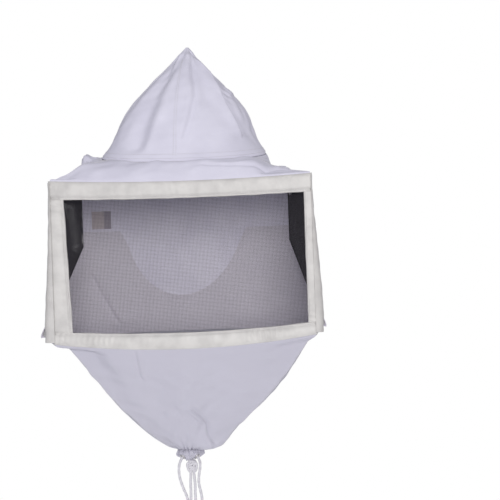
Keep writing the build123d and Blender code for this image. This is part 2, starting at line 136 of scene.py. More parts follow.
CORD = 4.5
CORD_LENGTH, BOW_LENGTH = 0.9, 0.28
LEFT_ROUTE = (
    (-14.3, 86.3, -323.5), (-20.2, 78.5, -330.4), (-22.9, 75.4, -341.5), (-22.1, 75.3, -356.5),
    (-17.2, 76.4, -373.0), (-11.2, 78.0, -388.0), (-8.4, 80.0, -403.0), (-9.6, 83.4, -417.5),
)
RIGHT_ROUTE = (
    (6.3, 86.3, -323.5), (12.0, 78.7, -330.2), (12.4, 75.6, -341.0), (9.6, 75.4, -354.0),
    (8.6, 76.6, -367.5), (11.6, 78.3, -381.0), (13.6, 80.2, -394.0), (12.6, 82.6, -407.0),
    (13.2, 85.6, -419.5),
)
LOOP_ROUTE = (  # its two ends start inside the knot
    (-3.0, 77.5, -341.0), (-3.4, 75.4, -352.0), (-4.4, 73.6, -367.0), (-4.0, 72.4, -385.0),
    (-5.6, 71.4, -402.0), (-11.4, 70.6, -419.0), (-17.6, 70.0, -435.0), (-19.4, 69.6, -452.0),
    (-12.2, 69.4, -465.6), (0.6, 69.4, -471.4), (13.2, 69.6, -465.0), (19.6, 70.0, -450.6),
    (16.8, 70.4, -434.0), (9.0, 71.0, -418.0), (3.6, 71.8, -402.0), (2.6, 72.8, -385.0),
    (3.2, 74.0, -367.0), (1.6, 75.6, -352.0), (1.4, 77.5, -341.0),
)
KNOT = np.array((-1, 79.5, -339.5))
HANKS = {"left": (-13.5, 90), "right": (15.5, 91.5)}
HANK_TOP, HANK_LENGTH = -431, 84
HANK_TURNS, HANK_BEND = 4, 8.6
HANK_WAIST = 2.6  # half the distance between the runs where the tie draws them together
END_KNOT_HEIGHT = -519.7

WIRE_PITCH, WIRE_RADIUS = 2.1, 0.18
SIDE_WIRE_PITCH, SIDE_WIRE_RADIUS = 1.8, 0.25
STITCH, STITCH_STEP = 2.5, 3.6
STITCH_RADIUS, STITCH_ARCH = 0.32, 0.14
BINDING_STEP, BINDING_SIDES = 1.9, 34
SEWN_LINE = 3.2  # how far a binding's stitches lie from its inner edge
GATHER_STEP = 8.4
BRAID_STRANDS, BRAID_STEP = 4, 0.65

CAMERA_PLACE, CAMERA_ANGLE = (49, -1350, 0), 32
CAMERA_TURN, CAMERA_RISE, CAMERA_TILT = 2.3, 0.37, 2.1
LIGHTS_TARGET = (0, 80, 20)
FLOOR_DROP, FLOOR_RADIUS, FLOOR_LIP = 0.24, 0.95, 0.02  # metres


# ---------------------------------------------------------------- small tools
def into_frame(points):
    return (np.asarray(points, float) + MIDDLE) / MM


def stacked(*coordinates):
    """Coordinates of any matching shapes as one array of points."""
    return np.stack(np.broadcast_arrays(*coordinates), -1)


def mix(a, b, share):
    return a + (b - a) * share


def ease(x):
    x = np.clip(x, 0, 1)
    return x * x * (3 - 2 * x)


def hump(distance, width):
    return np.exp(-((distance / width) ** 2))


def smooth_curve(x, knots, values):
    """A smooth curve through the values at the knots."""
    knots, values = np.asarray(knots, float), np.asarray(values, float)
    slopes = np.gradient(values, knots)
    x = np.clip(x, knots[0], knots[-1])
    i = np.clip(np.searchsorted(knots, x, "right") - 1, 0, len(knots) - 2)
    span = knots[i + 1] - knots[i]
    t = (x - knots[i]) / span
    start = (1 + 2 * t) * (1 - t) ** 2 * values[i] + t * (1 - t) ** 2 * span * slopes[i]
    return start + t * t * (3 - 2 * t) * values[i + 1] + t * t * (t - 1) * span * slopes[i + 1]


WAVES = 9


def ripples(a, b, wavelength, seed):
    """Smooth uneven waves over two coordinates, mostly between -1 and 1."""
    dice = np.random.default_rng(seed)
    total = 0.0
    for _ in range(WAVES):
        turn, size, shift = dice.uniform(0, TAU), wavelength * dice.uniform(0.7, 1.7), dice.uniform(0, TAU)
        total = total + np.sin((a * math.cos(turn) + b * math.sin(turn)) * TAU / size + shift)
    return total / math.sqrt(WAVES)


def from_line(x, z, line):
    """How far to the right of a line of (x, z) points each point is, and a fade at the line's two ends."""
    xs, zs = np.array(sorted(line, key=lambda point: point[1]), float).T
    away = x - np.interp(z, zs, xs)
    fade = ease((z - zs[0]) / 14 + 0.5) * ease((zs[-1] - z) / 10 + 0.5)
    return away, fade


# ---------------------------------------------------------------- meshes
def add_object(name, data):
    made = bpy.data.objects.new(name, data)
    bpy.context.scene.collection.objects.link(made)
    return made


def add_mesh(name, points, faces, material, uvs=None, sharp=None):
    """A smooth mesh from points in millimetres, with sharp edges between the points marked as sharp."""
    mesh = bpy.data.meshes.new(name)
    mesh.from_pydata(into_frame(points).tolist(), [], [list(face) for face in faces])
    if uvs is not None:
        corners = np.empty(len(mesh.loops), int)
        mesh.loops.foreach_get("vertex_index", corners)
        layer = mesh.uv_layers.new(name="UVMap")
        layer.data.foreach_set("uv", (np.asarray(uvs, float)[corners] / MM).ravel())
    mesh.polygons.foreach_set("use_smooth", [True] * len(mesh.polygons))
    if sharp is not None:
        ends = np.empty(2 * len(mesh.edges), int)
        mesh.edges.foreach_get("vertices", ends)
        on_rim = sharp[ends.reshape(-1, 2)].all(axis=1)
        mesh.attributes.new("sharp_edge", "BOOLEAN", "EDGE").data.foreach_set("value", on_rim)
    mesh.materials.append(material)
    if inside_out(mesh):
        mesh.flip_normals()
    return add_object(name, mesh)


def inside_out(mesh):
    """Whether a closed mesh's faces look inward, which makes the volume that they enclose negative."""
    mesh.calc_loop_triangles()
    corners = np.empty(3 * len(mesh.loop_triangles), int)
    mesh.loop_triangles.foreach_get("vertices", corners)
    points = np.empty(3 * len(mesh.vertices), np.float32)
    mesh.vertices.foreach_get("co", points)
    points = points.reshape(-1, 3).astype(float)
    a, b, c = np.moveaxis((points - points.mean(axis=0))[corners.reshape(-1, 3)], 1, 0)
    return (a * np.cross(b, c)).sum() < 0


def quads(rows, columns, closed=False, start=0):
    """The faces of a grid of points that is stored row by row."""
    i = np.arange(rows - 1)[:, None]
    j = np.arange(columns if closed else columns - 1)[None, :]
    k = (j + 1) % columns
    corners = [i * columns + j, i * columns + k, (i + 1) * columns + k, (i + 1) * columns + j]
    return np.stack([c + start for c in np.broadcast_arrays(*corners)], -1).reshape(-1, 4)


def shell(rows, inside, thickness, closed=False):
    """The outer and inner faces of cloth on a grid of points, either side of the grid."""
    if closed:
        along = np.roll(rows, -1, axis=1) - np.roll(rows, 1, axis=1)
    else:
        along = np.gradient(rows, axis=1)
    normal = np.cross(along, np.gradient(rows, axis=0))
    normal /= np.linalg.norm(normal, axis=-1, keepdims=True) + 1e-9
    if ((rows - np.asarray(inside)) * normal).sum() < 0:
        normal = -normal
    return rows + normal * thickness / 2, rows - normal * thickness / 2


def cloth(name, faces_of_cloth, material, columns=None):
    """A closed piece of cloth from its two faces, or from a stretch of their columns."""
    outer, inner = faces_of_cloth
    if columns is not None:
        outer, inner = outer[:, columns], inner[:, columns]
    rows, count = outer.shape[:2]
    size = rows * count
    grid = quads(rows, count)
    edge = np.concatenate(
        [
            np.arange(count),
            np.arange(1, rows) * count + count - 1,
            (rows - 1) * count + np.arange(count - 2, -1, -1),
            np.arange(rows - 2, 0, -1) * count,
        ]
    )
    following = np.roll(edge, -1)
    rim = np.stack([edge, edge + size, following + size, following], -1)
    faces = np.concatenate([grid, grid[:, ::-1] + size, rim])
    middle = (outer + inner) / 2
    across = np.linalg.norm(np.diff(middle, axis=1), axis=-1).cumsum(axis=1)
    across = np.concatenate([np.zeros((rows, 1)), across], axis=1)
    across -= across[:, -1:] / 2
    down = np.linalg.norm(np.diff(middle, axis=0), axis=-1).cumsum(axis=0)
    down = np.concatenate([np.zeros((1, count)), down])
    uv = np.stack([across, down], -1).reshape(-1, 2)
    on_edge = np.zeros(2 * size, bool)
    on_edge[edge] = on_edge[edge + size] = True
    points = np.concatenate([outer.reshape(-1, 3), inner.reshape(-1, 3)])
    return add_mesh(name, points, faces, material, np.concatenate([uv, uv]), on_edge)


def rings_mesh(rings, closed=False):
    """The points and faces of a tube through rings of points, with caps unless it closes on itself."""
    count, sides = rings.shape[:2]
    loop = np.concatenate([rings, rings[:1]]) if closed else rings
    faces = quads(len(loop), sides, closed=True).tolist()
    if closed:
        faces = (np.array(faces) % (count * sides)).tolist()
    else:
        faces += [list(range(sides))[::-1], list(range((count - 1) * sides, count * sides))]
    return rings.reshape(-1, 3), faces


def frames_along(points, closed=False):
    """A direction and two cross directions at each point of a line, turning as little as they can."""
    if closed:
        ahead = np.roll(points, -1, axis=0) - np.roll(points, 1, axis=0)
    else:
        ahead = np.gradient(points, axis=0)
    ahead /= np.linalg.norm(ahead, axis=1, keepdims=True)
    first = np.cross(ahead[0], (0.3, 0.9, 0.2))
    sideways = [first / np.linalg.norm(first)]
    for direction in ahead[1:]:
        turned = sideways[-1] - direction * (sideways[-1] @ direction)
        sideways.append(turned / np.linalg.norm(turned))
    sideways = np.array(sideways)
    return ahead, sideways, np.cross(ahead, sideways)


def braided_tube(points, diameter, closed=False, sides=18):
    """A braided cord's line and its rings of points: raised strands wind round it both ways."""
    line = np.concatenate([points, points[:1]]) if closed else points
    steps = np.linalg.norm(np.diff(line, axis=0), axis=1)
    along = np.concatenate([[0], steps.cumsum()])
    count = max(int(along[-1] / BRAID_STEP), 8)
    places = np.linspace(0, along[-1], count, endpoint=not closed)
    even = np.stack([np.interp(places, along, line[:, k]) for k in range(3)], -1)
    _, sideways, up = frames_along(even, closed)
    turn = np.linspace(0, TAU, sides, endpoint=False)
    lay = places[:, None] * TAU / max(2.2 * diameter, 2)
    weave = np.maximum(np.cos(BRAID_STRANDS * turn + lay), np.cos(BRAID_STRANDS * turn - lay))
    radius = diameter / 2 * (0.9 + 0.11 * weave)
    out = sideways[:, None] * np.cos(turn)[:, None] + up[:, None] * np.sin(turn)[:, None]
    return even, even[:, None] + out * radius[..., None]


def joined(parts):
    """Several (points, faces) as one."""
    points, faces, start = [], [], 0
    for some_points, some_faces in parts:
        points.append(some_points)
        faces += [[corner + start for corner in face] for face in some_faces]
        start += len(some_points)
    return np.concatenate(points), faces


def spline_line(route):
    """The smooth line of a route, as closely spaced points: a spline with the route as its control points."""
    curve = bpy.data.curves.new("route", "CURVE")
    curve.dimensions = "3D"
    spline = curve.splines.new("NURBS")
    spline.points.add(len(route) - 1)
    for point, place in zip(spline.points, into_frame(route)):
        point.co = (*place, 1)
    spline.order_u = 3
    spline.use_endpoint_u = True
    spline.resolution_u = 16
    holder = bpy.data.objects.new("route", curve)
    mesh = bpy.data.meshes.new_from_object(holder)
    line = np.array([vertex.co for vertex in mesh.vertices]) * MM - MIDDLE
    bpy.data.objects.remove(holder)
    bpy.data.meshes.remove(mesh)
    bpy.data.curves.remove(curve)
    keep = np.concatenate([[True], np.linalg.norm(np.diff(line, axis=0), axis=1) > 1e-4])
    return line[keep]


# ---------------------------------------------------------------- materials
class Look:
    """A material made of nodes, with short ways to add and join them."""

    def __init__(self, name, **sockets):
        self.material = bpy.data.materials.new(name)
        self.material.use_nodes = True
        self.tree = self.material.node_tree
        self.shader = self.tree.nodes["Principled BSDF"]
        for socket, value in sockets.items():
            self.shader.inputs[socket.replace("_", " ")].default_value = value
        self.coordinates = self.tree.nodes.new("ShaderNodeTexCoord")

    def node(self, kind, settings=None, **inputs):
        made = self.tree.nodes.new("ShaderNode" + kind)
        for setting, value in (settings or {}).items():
            setattr(made, setting, value)
        for socket, value in inputs.items():
            socket = socket.replace("_", " ")
            target = made.inputs[int(socket[1:])] if socket[1:].isdigit() else made.inputs[socket]
            if isinstance(value, bpy.types.NodeSocket):
                self.tree.links.new(value, target)
            else:
                target.default_value = value
        return made

    def noise(self, scale, detail=3, stretch=None):
        vector = self.coordinates.outputs["Object"]
        if stretch:
            vector = self.node("Mapping", Vector=vector, Scale=stretch).outputs[0]
        return self.node("TexNoise", Vector=vector, Scale=scale, Detail=detail).outputs[0]

    def bands(self, per_metre, direction):
        """Even ridges along one direction of the cloth, as many as given to the metre."""
        wave = {"wave_type": "BANDS", "bands_direction": direction, "wave_profile": "SIN"}
        scale = per_metre / 20 * TAU
        return self.node("TexWave", wave, Vector=self.coordinates.outputs["UV"], Scale=scale).outputs[1]

    def math(self, operation, a, b):
        return self.node("Math", {"operation": operation}, _0=a, _1=b).outputs[0]

    def colours(self, share, *stops):
        """A colour from stops of (place, colour)."""
        ramp = self.node("ValToRGB", Fac=share)
        while len(ramp.color_ramp.elements) < len(stops):
            ramp.color_ramp.elements.new(0.5)
        for element, (place, colour) in zip(ramp.color_ramp.elements, stops):
            element.position = place
            element.color = (*colour, 1)
        return ramp.outputs[0]

    def tint(self, colour, share, other):
        """One colour turning into another by a share."""
        made = self.node("Mix", {"data_type": "RGBA"}, _0=share)
        for socket, value in zip(made.inputs[6:8], (colour, other)):
            if isinstance(value, bpy.types.NodeSocket):
                self.tree.links.new(value, socket)
            else:
                socket.default_value = (*value, 1)
        return made.outputs[2]

    def finish(self, colour=None, roughness=None, bumps=()):
        """Joins the colour, roughness and a chain of (height, distance, strength) bumps to the shader."""
        if colour is not None:
            self.tree.links.new(colour, self.shader.inputs["Base Color"])
        if roughness is not None:
            self.tree.links.new(roughness, self.shader.inputs["Roughness"])
        normal = None
        for height, distance, strength in bumps:
            made = self.node("Bump", Height=height, Distance=distance, Strength=strength)
            if normal is not None:
                self.tree.links.new(normal, made.inputs["Normal"])
            normal = made.outputs[0]
        if normal is not None:
            self.tree.links.new(normal, self.shader.inputs["Normal"])
        return self.material


def scaled(look, value, low, high):
    return look.node("MapRange", Value=value, To_Min=low, To_Max=high).outputs[0]


THREADS_PER_METRE = 1400


def cotton_look(name, light, dark):
    look = Look(name, Sheen_Weight=0.15, Sheen_Roughness=0.5, Specular_IOR_Level=0.2)
    mottle = look.noise(18, 4)
    colour = look.colours(mottle, (0.3, dark), (0.62, light))
    weave = look.math(
        "MULTIPLY", look.bands(THREADS_PER_METRE, "X"), look.bands(THREADS_PER_METRE, "Y")
    )
    slub = look.noise(90, 3, stretch=(1, 1, 6))
    return look.finish(
        colour,
        scaled(look, look.noise(60), 0.74, 0.9),
        ((look.noise(38, 4), 0.0011, 0.35), (slub, 0.0003, 0.3), (weave, 0.0001, 0.35)),
    )


def net_look(name, light, hole):
    """Fine knitted net: a staggered pattern of small holes between pale threads."""
    look = Look(name, Sheen_Weight=0.1, Specular_IOR_Level=0.2)
    flat = look.coordinates.outputs["UV"]
    turned = look.node("Mapping", Vector=flat, Rotation=(0, 0, math.radians(45)))
    cells = look.node("TexVoronoi", Vector=turned.outputs[0], Scale=620, Randomness=0.06).outputs["Distance"]
    threads = look.colours(cells, (0.16, hole), (0.42, light))
    colour = look.tint(threads, scaled(look, look.noise(14, 3), 0, 0.22), hole)
    height = look.colours(cells, (0.15, (0, 0, 0)), (0.45, (1, 1, 1)))
    return look.finish(
        colour,
        scaled(look, look.noise(40), 0.7, 0.85),
        ((look.noise(26, 3), 0.0012, 0.3), (height, 0.0004, 0.5)),
    )


def satin_look(name, light, dark):
    """Cream satin binding: a close weave with a soft sheen and uneven puckers."""
    look = Look(name, Sheen_Weight=0.12, Sheen_Roughness=0.3, Specular_IOR_Level=0.5)
    colour = look.colours(look.noise(40, 5), (0.35, dark), (0.6, light))
    floats = look.bands(1500, "Y")
    return look.finish(
        colour,
        scaled(look, look.noise(120, 4), 0.34, 0.52),
        (
            (look.noise(75, 4), 0.0012, 0.4),
            (look.noise(260, 3), 0.0003, 0.35),
            (floats, 0.00006, 0.5),
        ),
    )


def wire_look(name, colour, roughness, metallic):
    look = Look(name, Metallic=metallic, Specular_IOR_Level=0.4)
    worn = tuple(min(1, part * 1.9 + 0.004) for part in colour)
    mottle = look.noise(220, 4)
    return look.finish(
        look.colours(mottle, (0.45, colour), (0.75, worn)),
        scaled(look, look.noise(500), roughness - 0.08, roughness + 0.1),
        ((mottle, 0.00005, 0.3),),
    )


def nickel_look():
    look = Look("nickel", Metallic=1.0)
    scuffs = look.noise(900, 4, stretch=(1, 1, 4))
    return look.finish(
        look.colours(look.noise(300), (0.3, (0.42, 0.41, 0.42)), (0.7, (0.66, 0.65, 0.66))),
        scaled(look, scuffs, 0.2, 0.4),
        ((scuffs, 0.00004, 0.3),),
    )


def cord_look(name, light, dark):
    look = Look(name, Sheen_Weight=0.2, Specular_IOR_Level=0.2)
    fibres = look.noise(1500, 3)
    return look.finish(
        look.colours(fibres, (0.3, dark), (0.65, light)),
        scaled(look, fibres, 0.72, 0.9),
        ((fibres, 0.0002, 0.5),),
    )


def elastic_look():
    look = Look("elastic", Sheen_Weight=0.1, Specular_IOR_Level=0.3)
    ribs = look.bands(700, "Y")
    # The colour is darker in the grooves between the ribs: painted shade, following the ribs' height, on top
    # of their bump.
    return look.finish(
        look.colours(ribs, (0.2, (0.45, 0.45, 0.5)), (0.7, (0.7, 0.7, 0.76))),
        scaled(look, look.noise(200), 0.6, 0.75),
        ((ribs, 0.0003, 0.6), (look.bands(900, "X"), 0.0001, 0.4)),
    )


def label_look():
    """A blank woven label, pale at one end, with painted shade darkening its other end."""
    look = Look("woven_label_with_painted_shade", Specular_IOR_Level=0.3)
    across = look.node("SeparateXYZ", Vector=look.coordinates.outputs["UV"]).outputs[0]
    place = look.node("MapRange", Value=across, From_Min=-0.0165, From_Max=0.0165).outputs[0]
    # The dark end is painted shade; the pale end is the label's own colour.
    pale_and_painted_shade = look.colours(place, (0.3, (0.42, 0.38, 0.44)), (0.4, (0.68, 0.6, 0.62)))
    weave = look.math("MULTIPLY", look.bands(2200, "X"), look.bands(2200, "Y"))
    colour = look.tint(pale_and_painted_shade, scaled(look, look.noise(160), 0, 0.25), (0.45, 0.42, 0.46))
    return look.finish(colour, scaled(look, look.noise(90), 0.55, 0.7), ((weave, 0.0001, 0.5),))


COTTON = cotton_look("cotton", (0.655, 0.645, 0.745), (0.60, 0.59, 0.69))
# A copy of the cotton painted lighter than the crown's, to make up for the shade inside the hood.
BACK_COTTON_PAINTED_LIGHTER = cotton_look("back_cotton_painted_lighter", (0.90, 0.87, 0.99), (0.82, 0.79, 0.92))
WHITE_NET = net_look("white_net", (0.57, 0.56, 0.64), (0.33, 0.325, 0.39))
# A copy of the net painted lighter than the skirt's, to make up for the shade inside the hood.
BACK_NET_PAINTED_LIGHTER = net_look("back_net_painted_lighter", (0.88, 0.84, 0.93), (0.62, 0.585, 0.66))
SATIN = satin_look("cream_satin", (0.58, 0.567, 0.553), (0.50, 0.488, 0.478))
BLACK_WIRE = wire_look("black_wire", (0.022, 0.018, 0.026), 0.42, 0.0)
# A copy of the black wire painted darker, as the shade on the side screens inside the hood.
SIDE_WIRE_PAINTED_DARKER = wire_look("side_black_wire_painted_darker", (0.006, 0.0055, 0.009), 0.6, 0.0)
STEEL = wire_look("spring_steel", (0.32, 0.31, 0.30), 0.35, 1.0)
NICKEL = nickel_look()
CORD_COTTON = cord_look("cord_cotton", (0.66, 0.65, 0.69), (0.5, 0.49, 0.53))
THREAD = cord_look("thread", (0.58, 0.57, 0.58), (0.48, 0.47, 0.49))
ELASTIC = elastic_look()
LABEL_WITH_PAINTED_SHADE = label_look()


# ---------------------------------------------------------------- camera and lights
def add_camera():
    """The view of the photograph: a little right of the middle, turned right, up and clockwise."""
    turn, rise, tilt = (math.radians(angle) for angle in (CAMERA_TURN, CAMERA_RISE, CAMERA_TILT))
    ahead = Vector((math.sin(turn) * math.cos(rise), math.cos(turn) * math.cos(rise), math.sin(rise)))
    level = ahead.cross(Vector((0, 0, 1))).normalized()
    upright = level.cross(ahead)
    right = level * math.cos(tilt) - upright * math.sin(tilt)
    up = level * math.sin(tilt) + upright * math.cos(tilt)
    data = bpy.data.cameras.new("camera")
    data.angle = math.radians(CAMERA_ANGLE)
    camera = add_object("camera", data)
    facing = Matrix([(right[i], up[i], -ahead[i]) for i in range(3)]).to_4x4()
    camera.matrix_world = Matrix.Translation(Vector(into_frame(CAMERA_PLACE))) @ facing
    bpy.context.scene.camera = camera


def add_light(name, place, size, power, colour):
    data = bpy.data.lights.new(name, "AREA")
    data.shape = "DISK"
    data.size = size
    data.energy = power
    data.color = colour
    light = add_object(name, data)
    light.location = place
    target = Vector(into_frame(LIGHTS_TARGET))
    light.rotation_euler = (target - light.location).to_track_quat("-Z", "Y").to_euler()


def add_studio():
    """A white studio: an even surround, a large soft key in front, a fill, a back light and a low floor."""
    scene = bpy.context.scene
    scene.view_settings.view_transform = "Standard"
    world = bpy.data.worlds.new("studio")
    scene.world = world
    world.use_nodes = True
    tree = world.node_tree
    surround = tree.nodes["Background"]
    surround.inputs["Color"].default_value = (0.93, 0.93, 1.0, 1)
    surround.inputs["Strength"].default_value = 0.36
    backdrop = tree.nodes.new("ShaderNodeBackground")
    backdrop.inputs["Color"].default_value = (1, 1, 1, 1)
    path = tree.nodes.new("ShaderNodeLightPath")
    choice = tree.nodes.new("ShaderNodeMixShader")
    tree.links.new(path.outputs["Is Camera Ray"], choice.inputs[0])
    tree.links.new(surround.outputs[0], choice.inputs[1])
    tree.links.new(backdrop.outputs[0], choice.inputs[2])
    tree.links.new(choice.outputs[0], tree.nodes["World Output"].inputs[0])
    add_light("key", (0.4, -2.7, 0.05), 1.5, 48, (1, 0.985, 0.965))
    add_light("fill", (-1.7, -1.7, 0.2), 1.6, 9, (0.95, 0.96, 1))
    add_light("back", (0.2, 2.4, 0.4), 1.6, 34, (1, 1, 1))

    add_floor()


def add_floor():
    """A pale disc well below the veil, whose rim turns up a little."""
    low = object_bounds()[0].z - FLOOR_DROP
    rings, sides = 12, 96
    radius = np.linspace(0.0005, FLOOR_RADIUS, rings)[:, None]
    turn = np.linspace(0, TAU, sides, endpoint=False)
    height = low + FLOOR_LIP * (radius / FLOOR_RADIUS) ** 8
    disc = stacked(radius * np.cos(turn), radius * np.sin(turn), height) * MM
    look = Look("pale_floor", Emission_Color=(1, 1, 1, 1), Emission_Strength=0.35)
    paper = look.noise(40, 5)
    look.finish(
        look.colours(paper, (0.3, (0.9, 0.9, 0.9)), (0.7, (0.93, 0.93, 0.93))),
        scaled(look, paper, 0.7, 0.85),
        ((paper, 0.001, 0.1),),
    )
    faces = quads(rings, sides, closed=True)
    add_mesh("floor", disc.reshape(-1, 3) - MIDDLE, faces, look.material)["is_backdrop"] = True


# ---------------------------------------------------------------- plans and surfaces
def side_point(side, along, out, height):
    """A point of a side screen: along it from the hinge, out through its thickness, and up."""
    splay = np.clip((BEND_HEIGHT - height) / (BEND_HEIGHT + HALF_HEIGHT), 0, 1)
    toe_in, flare = math.radians(-SIDE_TOE_IN), math.radians(SIDE_FLARE[side])
    sideways = mix(math.sin(toe_in), math.sin(flare), splay)
    back = mix(math.cos(toe_in), math.cos(flare), splay)
    x = SIDE_SIGN[side] * (HINGE_X + out + along * sideways)
    return stacked(x, HINGE_Y + along * back, height)


def front_point(across, height, depth):
    return stacked(across, depth, height)


def rear_corner(side, height):
    return side_point(side, SIDE_LENGTH, SIDE_THICKNESS / 2, height) + (0, REAR_GAP, 0)


def rear_point(across, height):
    """A point of the rear panel: across runs from -1 at its right edge to 1 at its left one."""
    right, left = rear_corner("right", height), rear_corner("left", height)
    point = mix(right, left, ((across + 1) / 2)[..., None])
    point[..., 1] += REAR_BULGE * (1 - np.abs(across) ** REAR_ROUNDNESS)
    return point


# Points inside the hood, which tell a panel's inner face from its outer one
INSIDE_HOOD = (0, 100, 0)
INSIDE_CROWN, INSIDE_BAND = (10, CROWN_Y, BASE_HEIGHT), (4, CROWN_Y, BASE_HEIGHT)
INSIDE_BRIM, INSIDE_SKIRT = (0, CROWN_Y, 60), (HEM[0], HEM[1], -150)

# Columns round the hood: 0 to 1 is its front from left to right, then its right side, rear and left side
SIDE_COLUMNS = (150, 66, 126, 66)
COLUMN_STARTS = np.concatenate([[0], np.cumsum(SIDE_COLUMNS)])
HEADER_HEIGHTS, LABEL_ACROSS = (125, 95), (0.73, 0.905)
TURNS = np.concatenate([k + np.arange(n) / n for k, n in enumerate(SIDE_COLUMNS)])
ALL_ROUND = np.append(np.arange(len(TURNS)), 0)
AT_REAR = (TURNS > 2) & (TURNS < 3)


def column(turn):
    k = int(turn) % 4
    return int(COLUMN_STARTS[k] + round((turn % 1) * SIDE_COLUMNS[k]))


def between_columns(start, end):
    first, last = column(start), column(end)
    if last <= first:
        last += len(TURNS)
    return np.arange(first, last + 1) % len(TURNS)


def plan(turn, height, front_sag):
    """The hood's square plan at one height, whose front edge sags in the middle."""
    side, share = np.floor(turn).astype(int), turn % 1
    level = np.full(turn.shape, float(height))
    right, left = rear_corner("right", level), rear_corner("left", level)
    front_x = HALF_WIDTH - FRONT_SEAM_Y
    across = 2 * share - 1
    front = front_point(front_x * across, height - front_sag * (1 - across**2), FRONT_SEAM_Y)
    share = share[..., None]
    sides = (
        front,
        mix(np.array((front_x, FRONT_SEAM_Y, height)), right, share),
        rear_point(across, level),
        mix(left, np.array((-front_x, FRONT_SEAM_Y, height)), share),
    )
    return np.select([(side == k)[..., None] for k in range(4)], sides)


BRIM_EDGE = plan(TURNS, TOP_SEAM, TOP_SAG)
SKIRT_EDGE = plan(TURNS, BOTTOM_SEAM, WINDOW_SAG)

# Lines of the crown's folds, as (x, height), and of its wrinkles
LEFT_FOLD = ((-2, 322), (-8, 303), (-28, 259), (-43, 215), (-59, 172))
MIDDLE_FOLD = ((17, 330), (22, 305), (26, 280), (26, 257), (17, 220), (6, 186))
RIGHT_EDGE = ((18, 338), (27, 325), (47, 302), (62, 274), (72, 250), (86, 222), (97, 196))
RIGHT_WRINKLE = (84, 274)
TIP_X = 15


def crown(turn_points, rise):
    """Points of the crown in the directions of the plan's points, at shares of the way to its tip."""
    rings = np.array(CROWN_RINGS, float)
    base, tip = rings[0, 0], rings[-1, 0]
    height = base + rise * (tip - base)
    middle, half_width, half_depth = (smooth_curve(height, rings[:, 0], rings[:, k]) for k in (1, 2, 3))
    flare = hump(height - base, 13)
    half_width = np.maximum(half_width + 6 * flare, 1.6)
    half_depth = np.maximum(half_depth + 3 * flare, 1.6)
    x, y = turn_points[..., 0] - middle, turn_points[..., 1] - CROWN_Y
    reach = 1 / np.hypot(x / half_width, y / half_depth)
    x, y = x * reach, y * reach
    point = np.stack([middle + x, CROWN_Y + y, height + BASE_SEAM_SLOPE * (1 - rise) * y], -1)
    outward = np.stack([x / half_width**2, y / half_depth**2, np.zeros_like(x)], -1)
    outward /= np.linalg.norm(outward, axis=-1, keepdims=True)
    return point, outward


def crown_folds(point, outward):
    """How far the crown's cloth stands out or in: its folds, the pleats at its tip and uneven drape."""
    x, y, z = np.moveaxis(point, -1, 0)
    front = ease((CROWN_Y - 8 - y) / 22)
    turn = np.arctan2(outward[..., 1], outward[..., 0])
    room = ease((z - 168) / 26) * ease((352 - z) / 26)
    away, fade = from_line(x, z, LEFT_FOLD)
    total = front * fade * (2.8 * hump(away - 5, 9) - 6.0 * hump(away + 13, 13))
    away, fade = from_line(x, z, MIDDLE_FOLD)
    total += front * fade * (1.5 * hump(away + 8, 7) - 2.4 * hump(away, 5))
    away, fade = from_line(x, z, RIGHT_EDGE)
    edge = 4.5 * hump(np.minimum(away, 0), 16) - 8 * ease(away / 4) * hump(np.maximum(away - 10, 0), 24)
    total += ease((CROWN_Y + 26 - y) / 34) * (x > 0) * fade * edge
    spot = np.hypot(x - RIGHT_WRINKLE[0], (z - RIGHT_WRINKLE[1]) * 0.8)
    total += 2.2 * hump(spot, 12) * np.cos(TAU * (z + 0.6 * x) / 9)
    behind = ease((y - CROWN_Y + 12) / 30)
    total += behind * ease((z - 190) / 60) * 3.2 * np.cos(7 * turn + 0.01 * z + 1.2 * np.sin(2 * turn))
    tip = ease((z - 296) / 40) * np.hypot(x - TIP_X, y - CROWN_Y)
    total += tip * 0.13 * np.cos(9 * turn + 0.7)
    total += 1.5 * ripples(turn * 70, z * 0.45, 62, 3) * room
    total += 0.5 * ripples(turn * 80, z * 0.8, 17, 4) * room
    base_seam = point[..., 2] - BASE_SEAM_SLOPE * (y - CROWN_Y)
    total -= 1.3 * hump(base_seam - BASE_HEIGHT, 2.4)
    return total * np.clip(np.hypot(x - TIP_X, y - CROWN_Y) / 14, 0, 1)


def crown_surface(plan_points, rise):
    point, outward = crown(plan_points, rise)
    return point + outward * crown_folds(point, outward)[..., None]


BRIM_CREASE = ((20, 143.5), (93, 141.5), (150, 139))
EARS = {
    "left": {"place": (-157, 102, 161), "lift": (-4, 0, 13), "width": 9},
    "right": {"place": (163, 42, 140), "lift": (2, 0, 13), "width": 8},
}


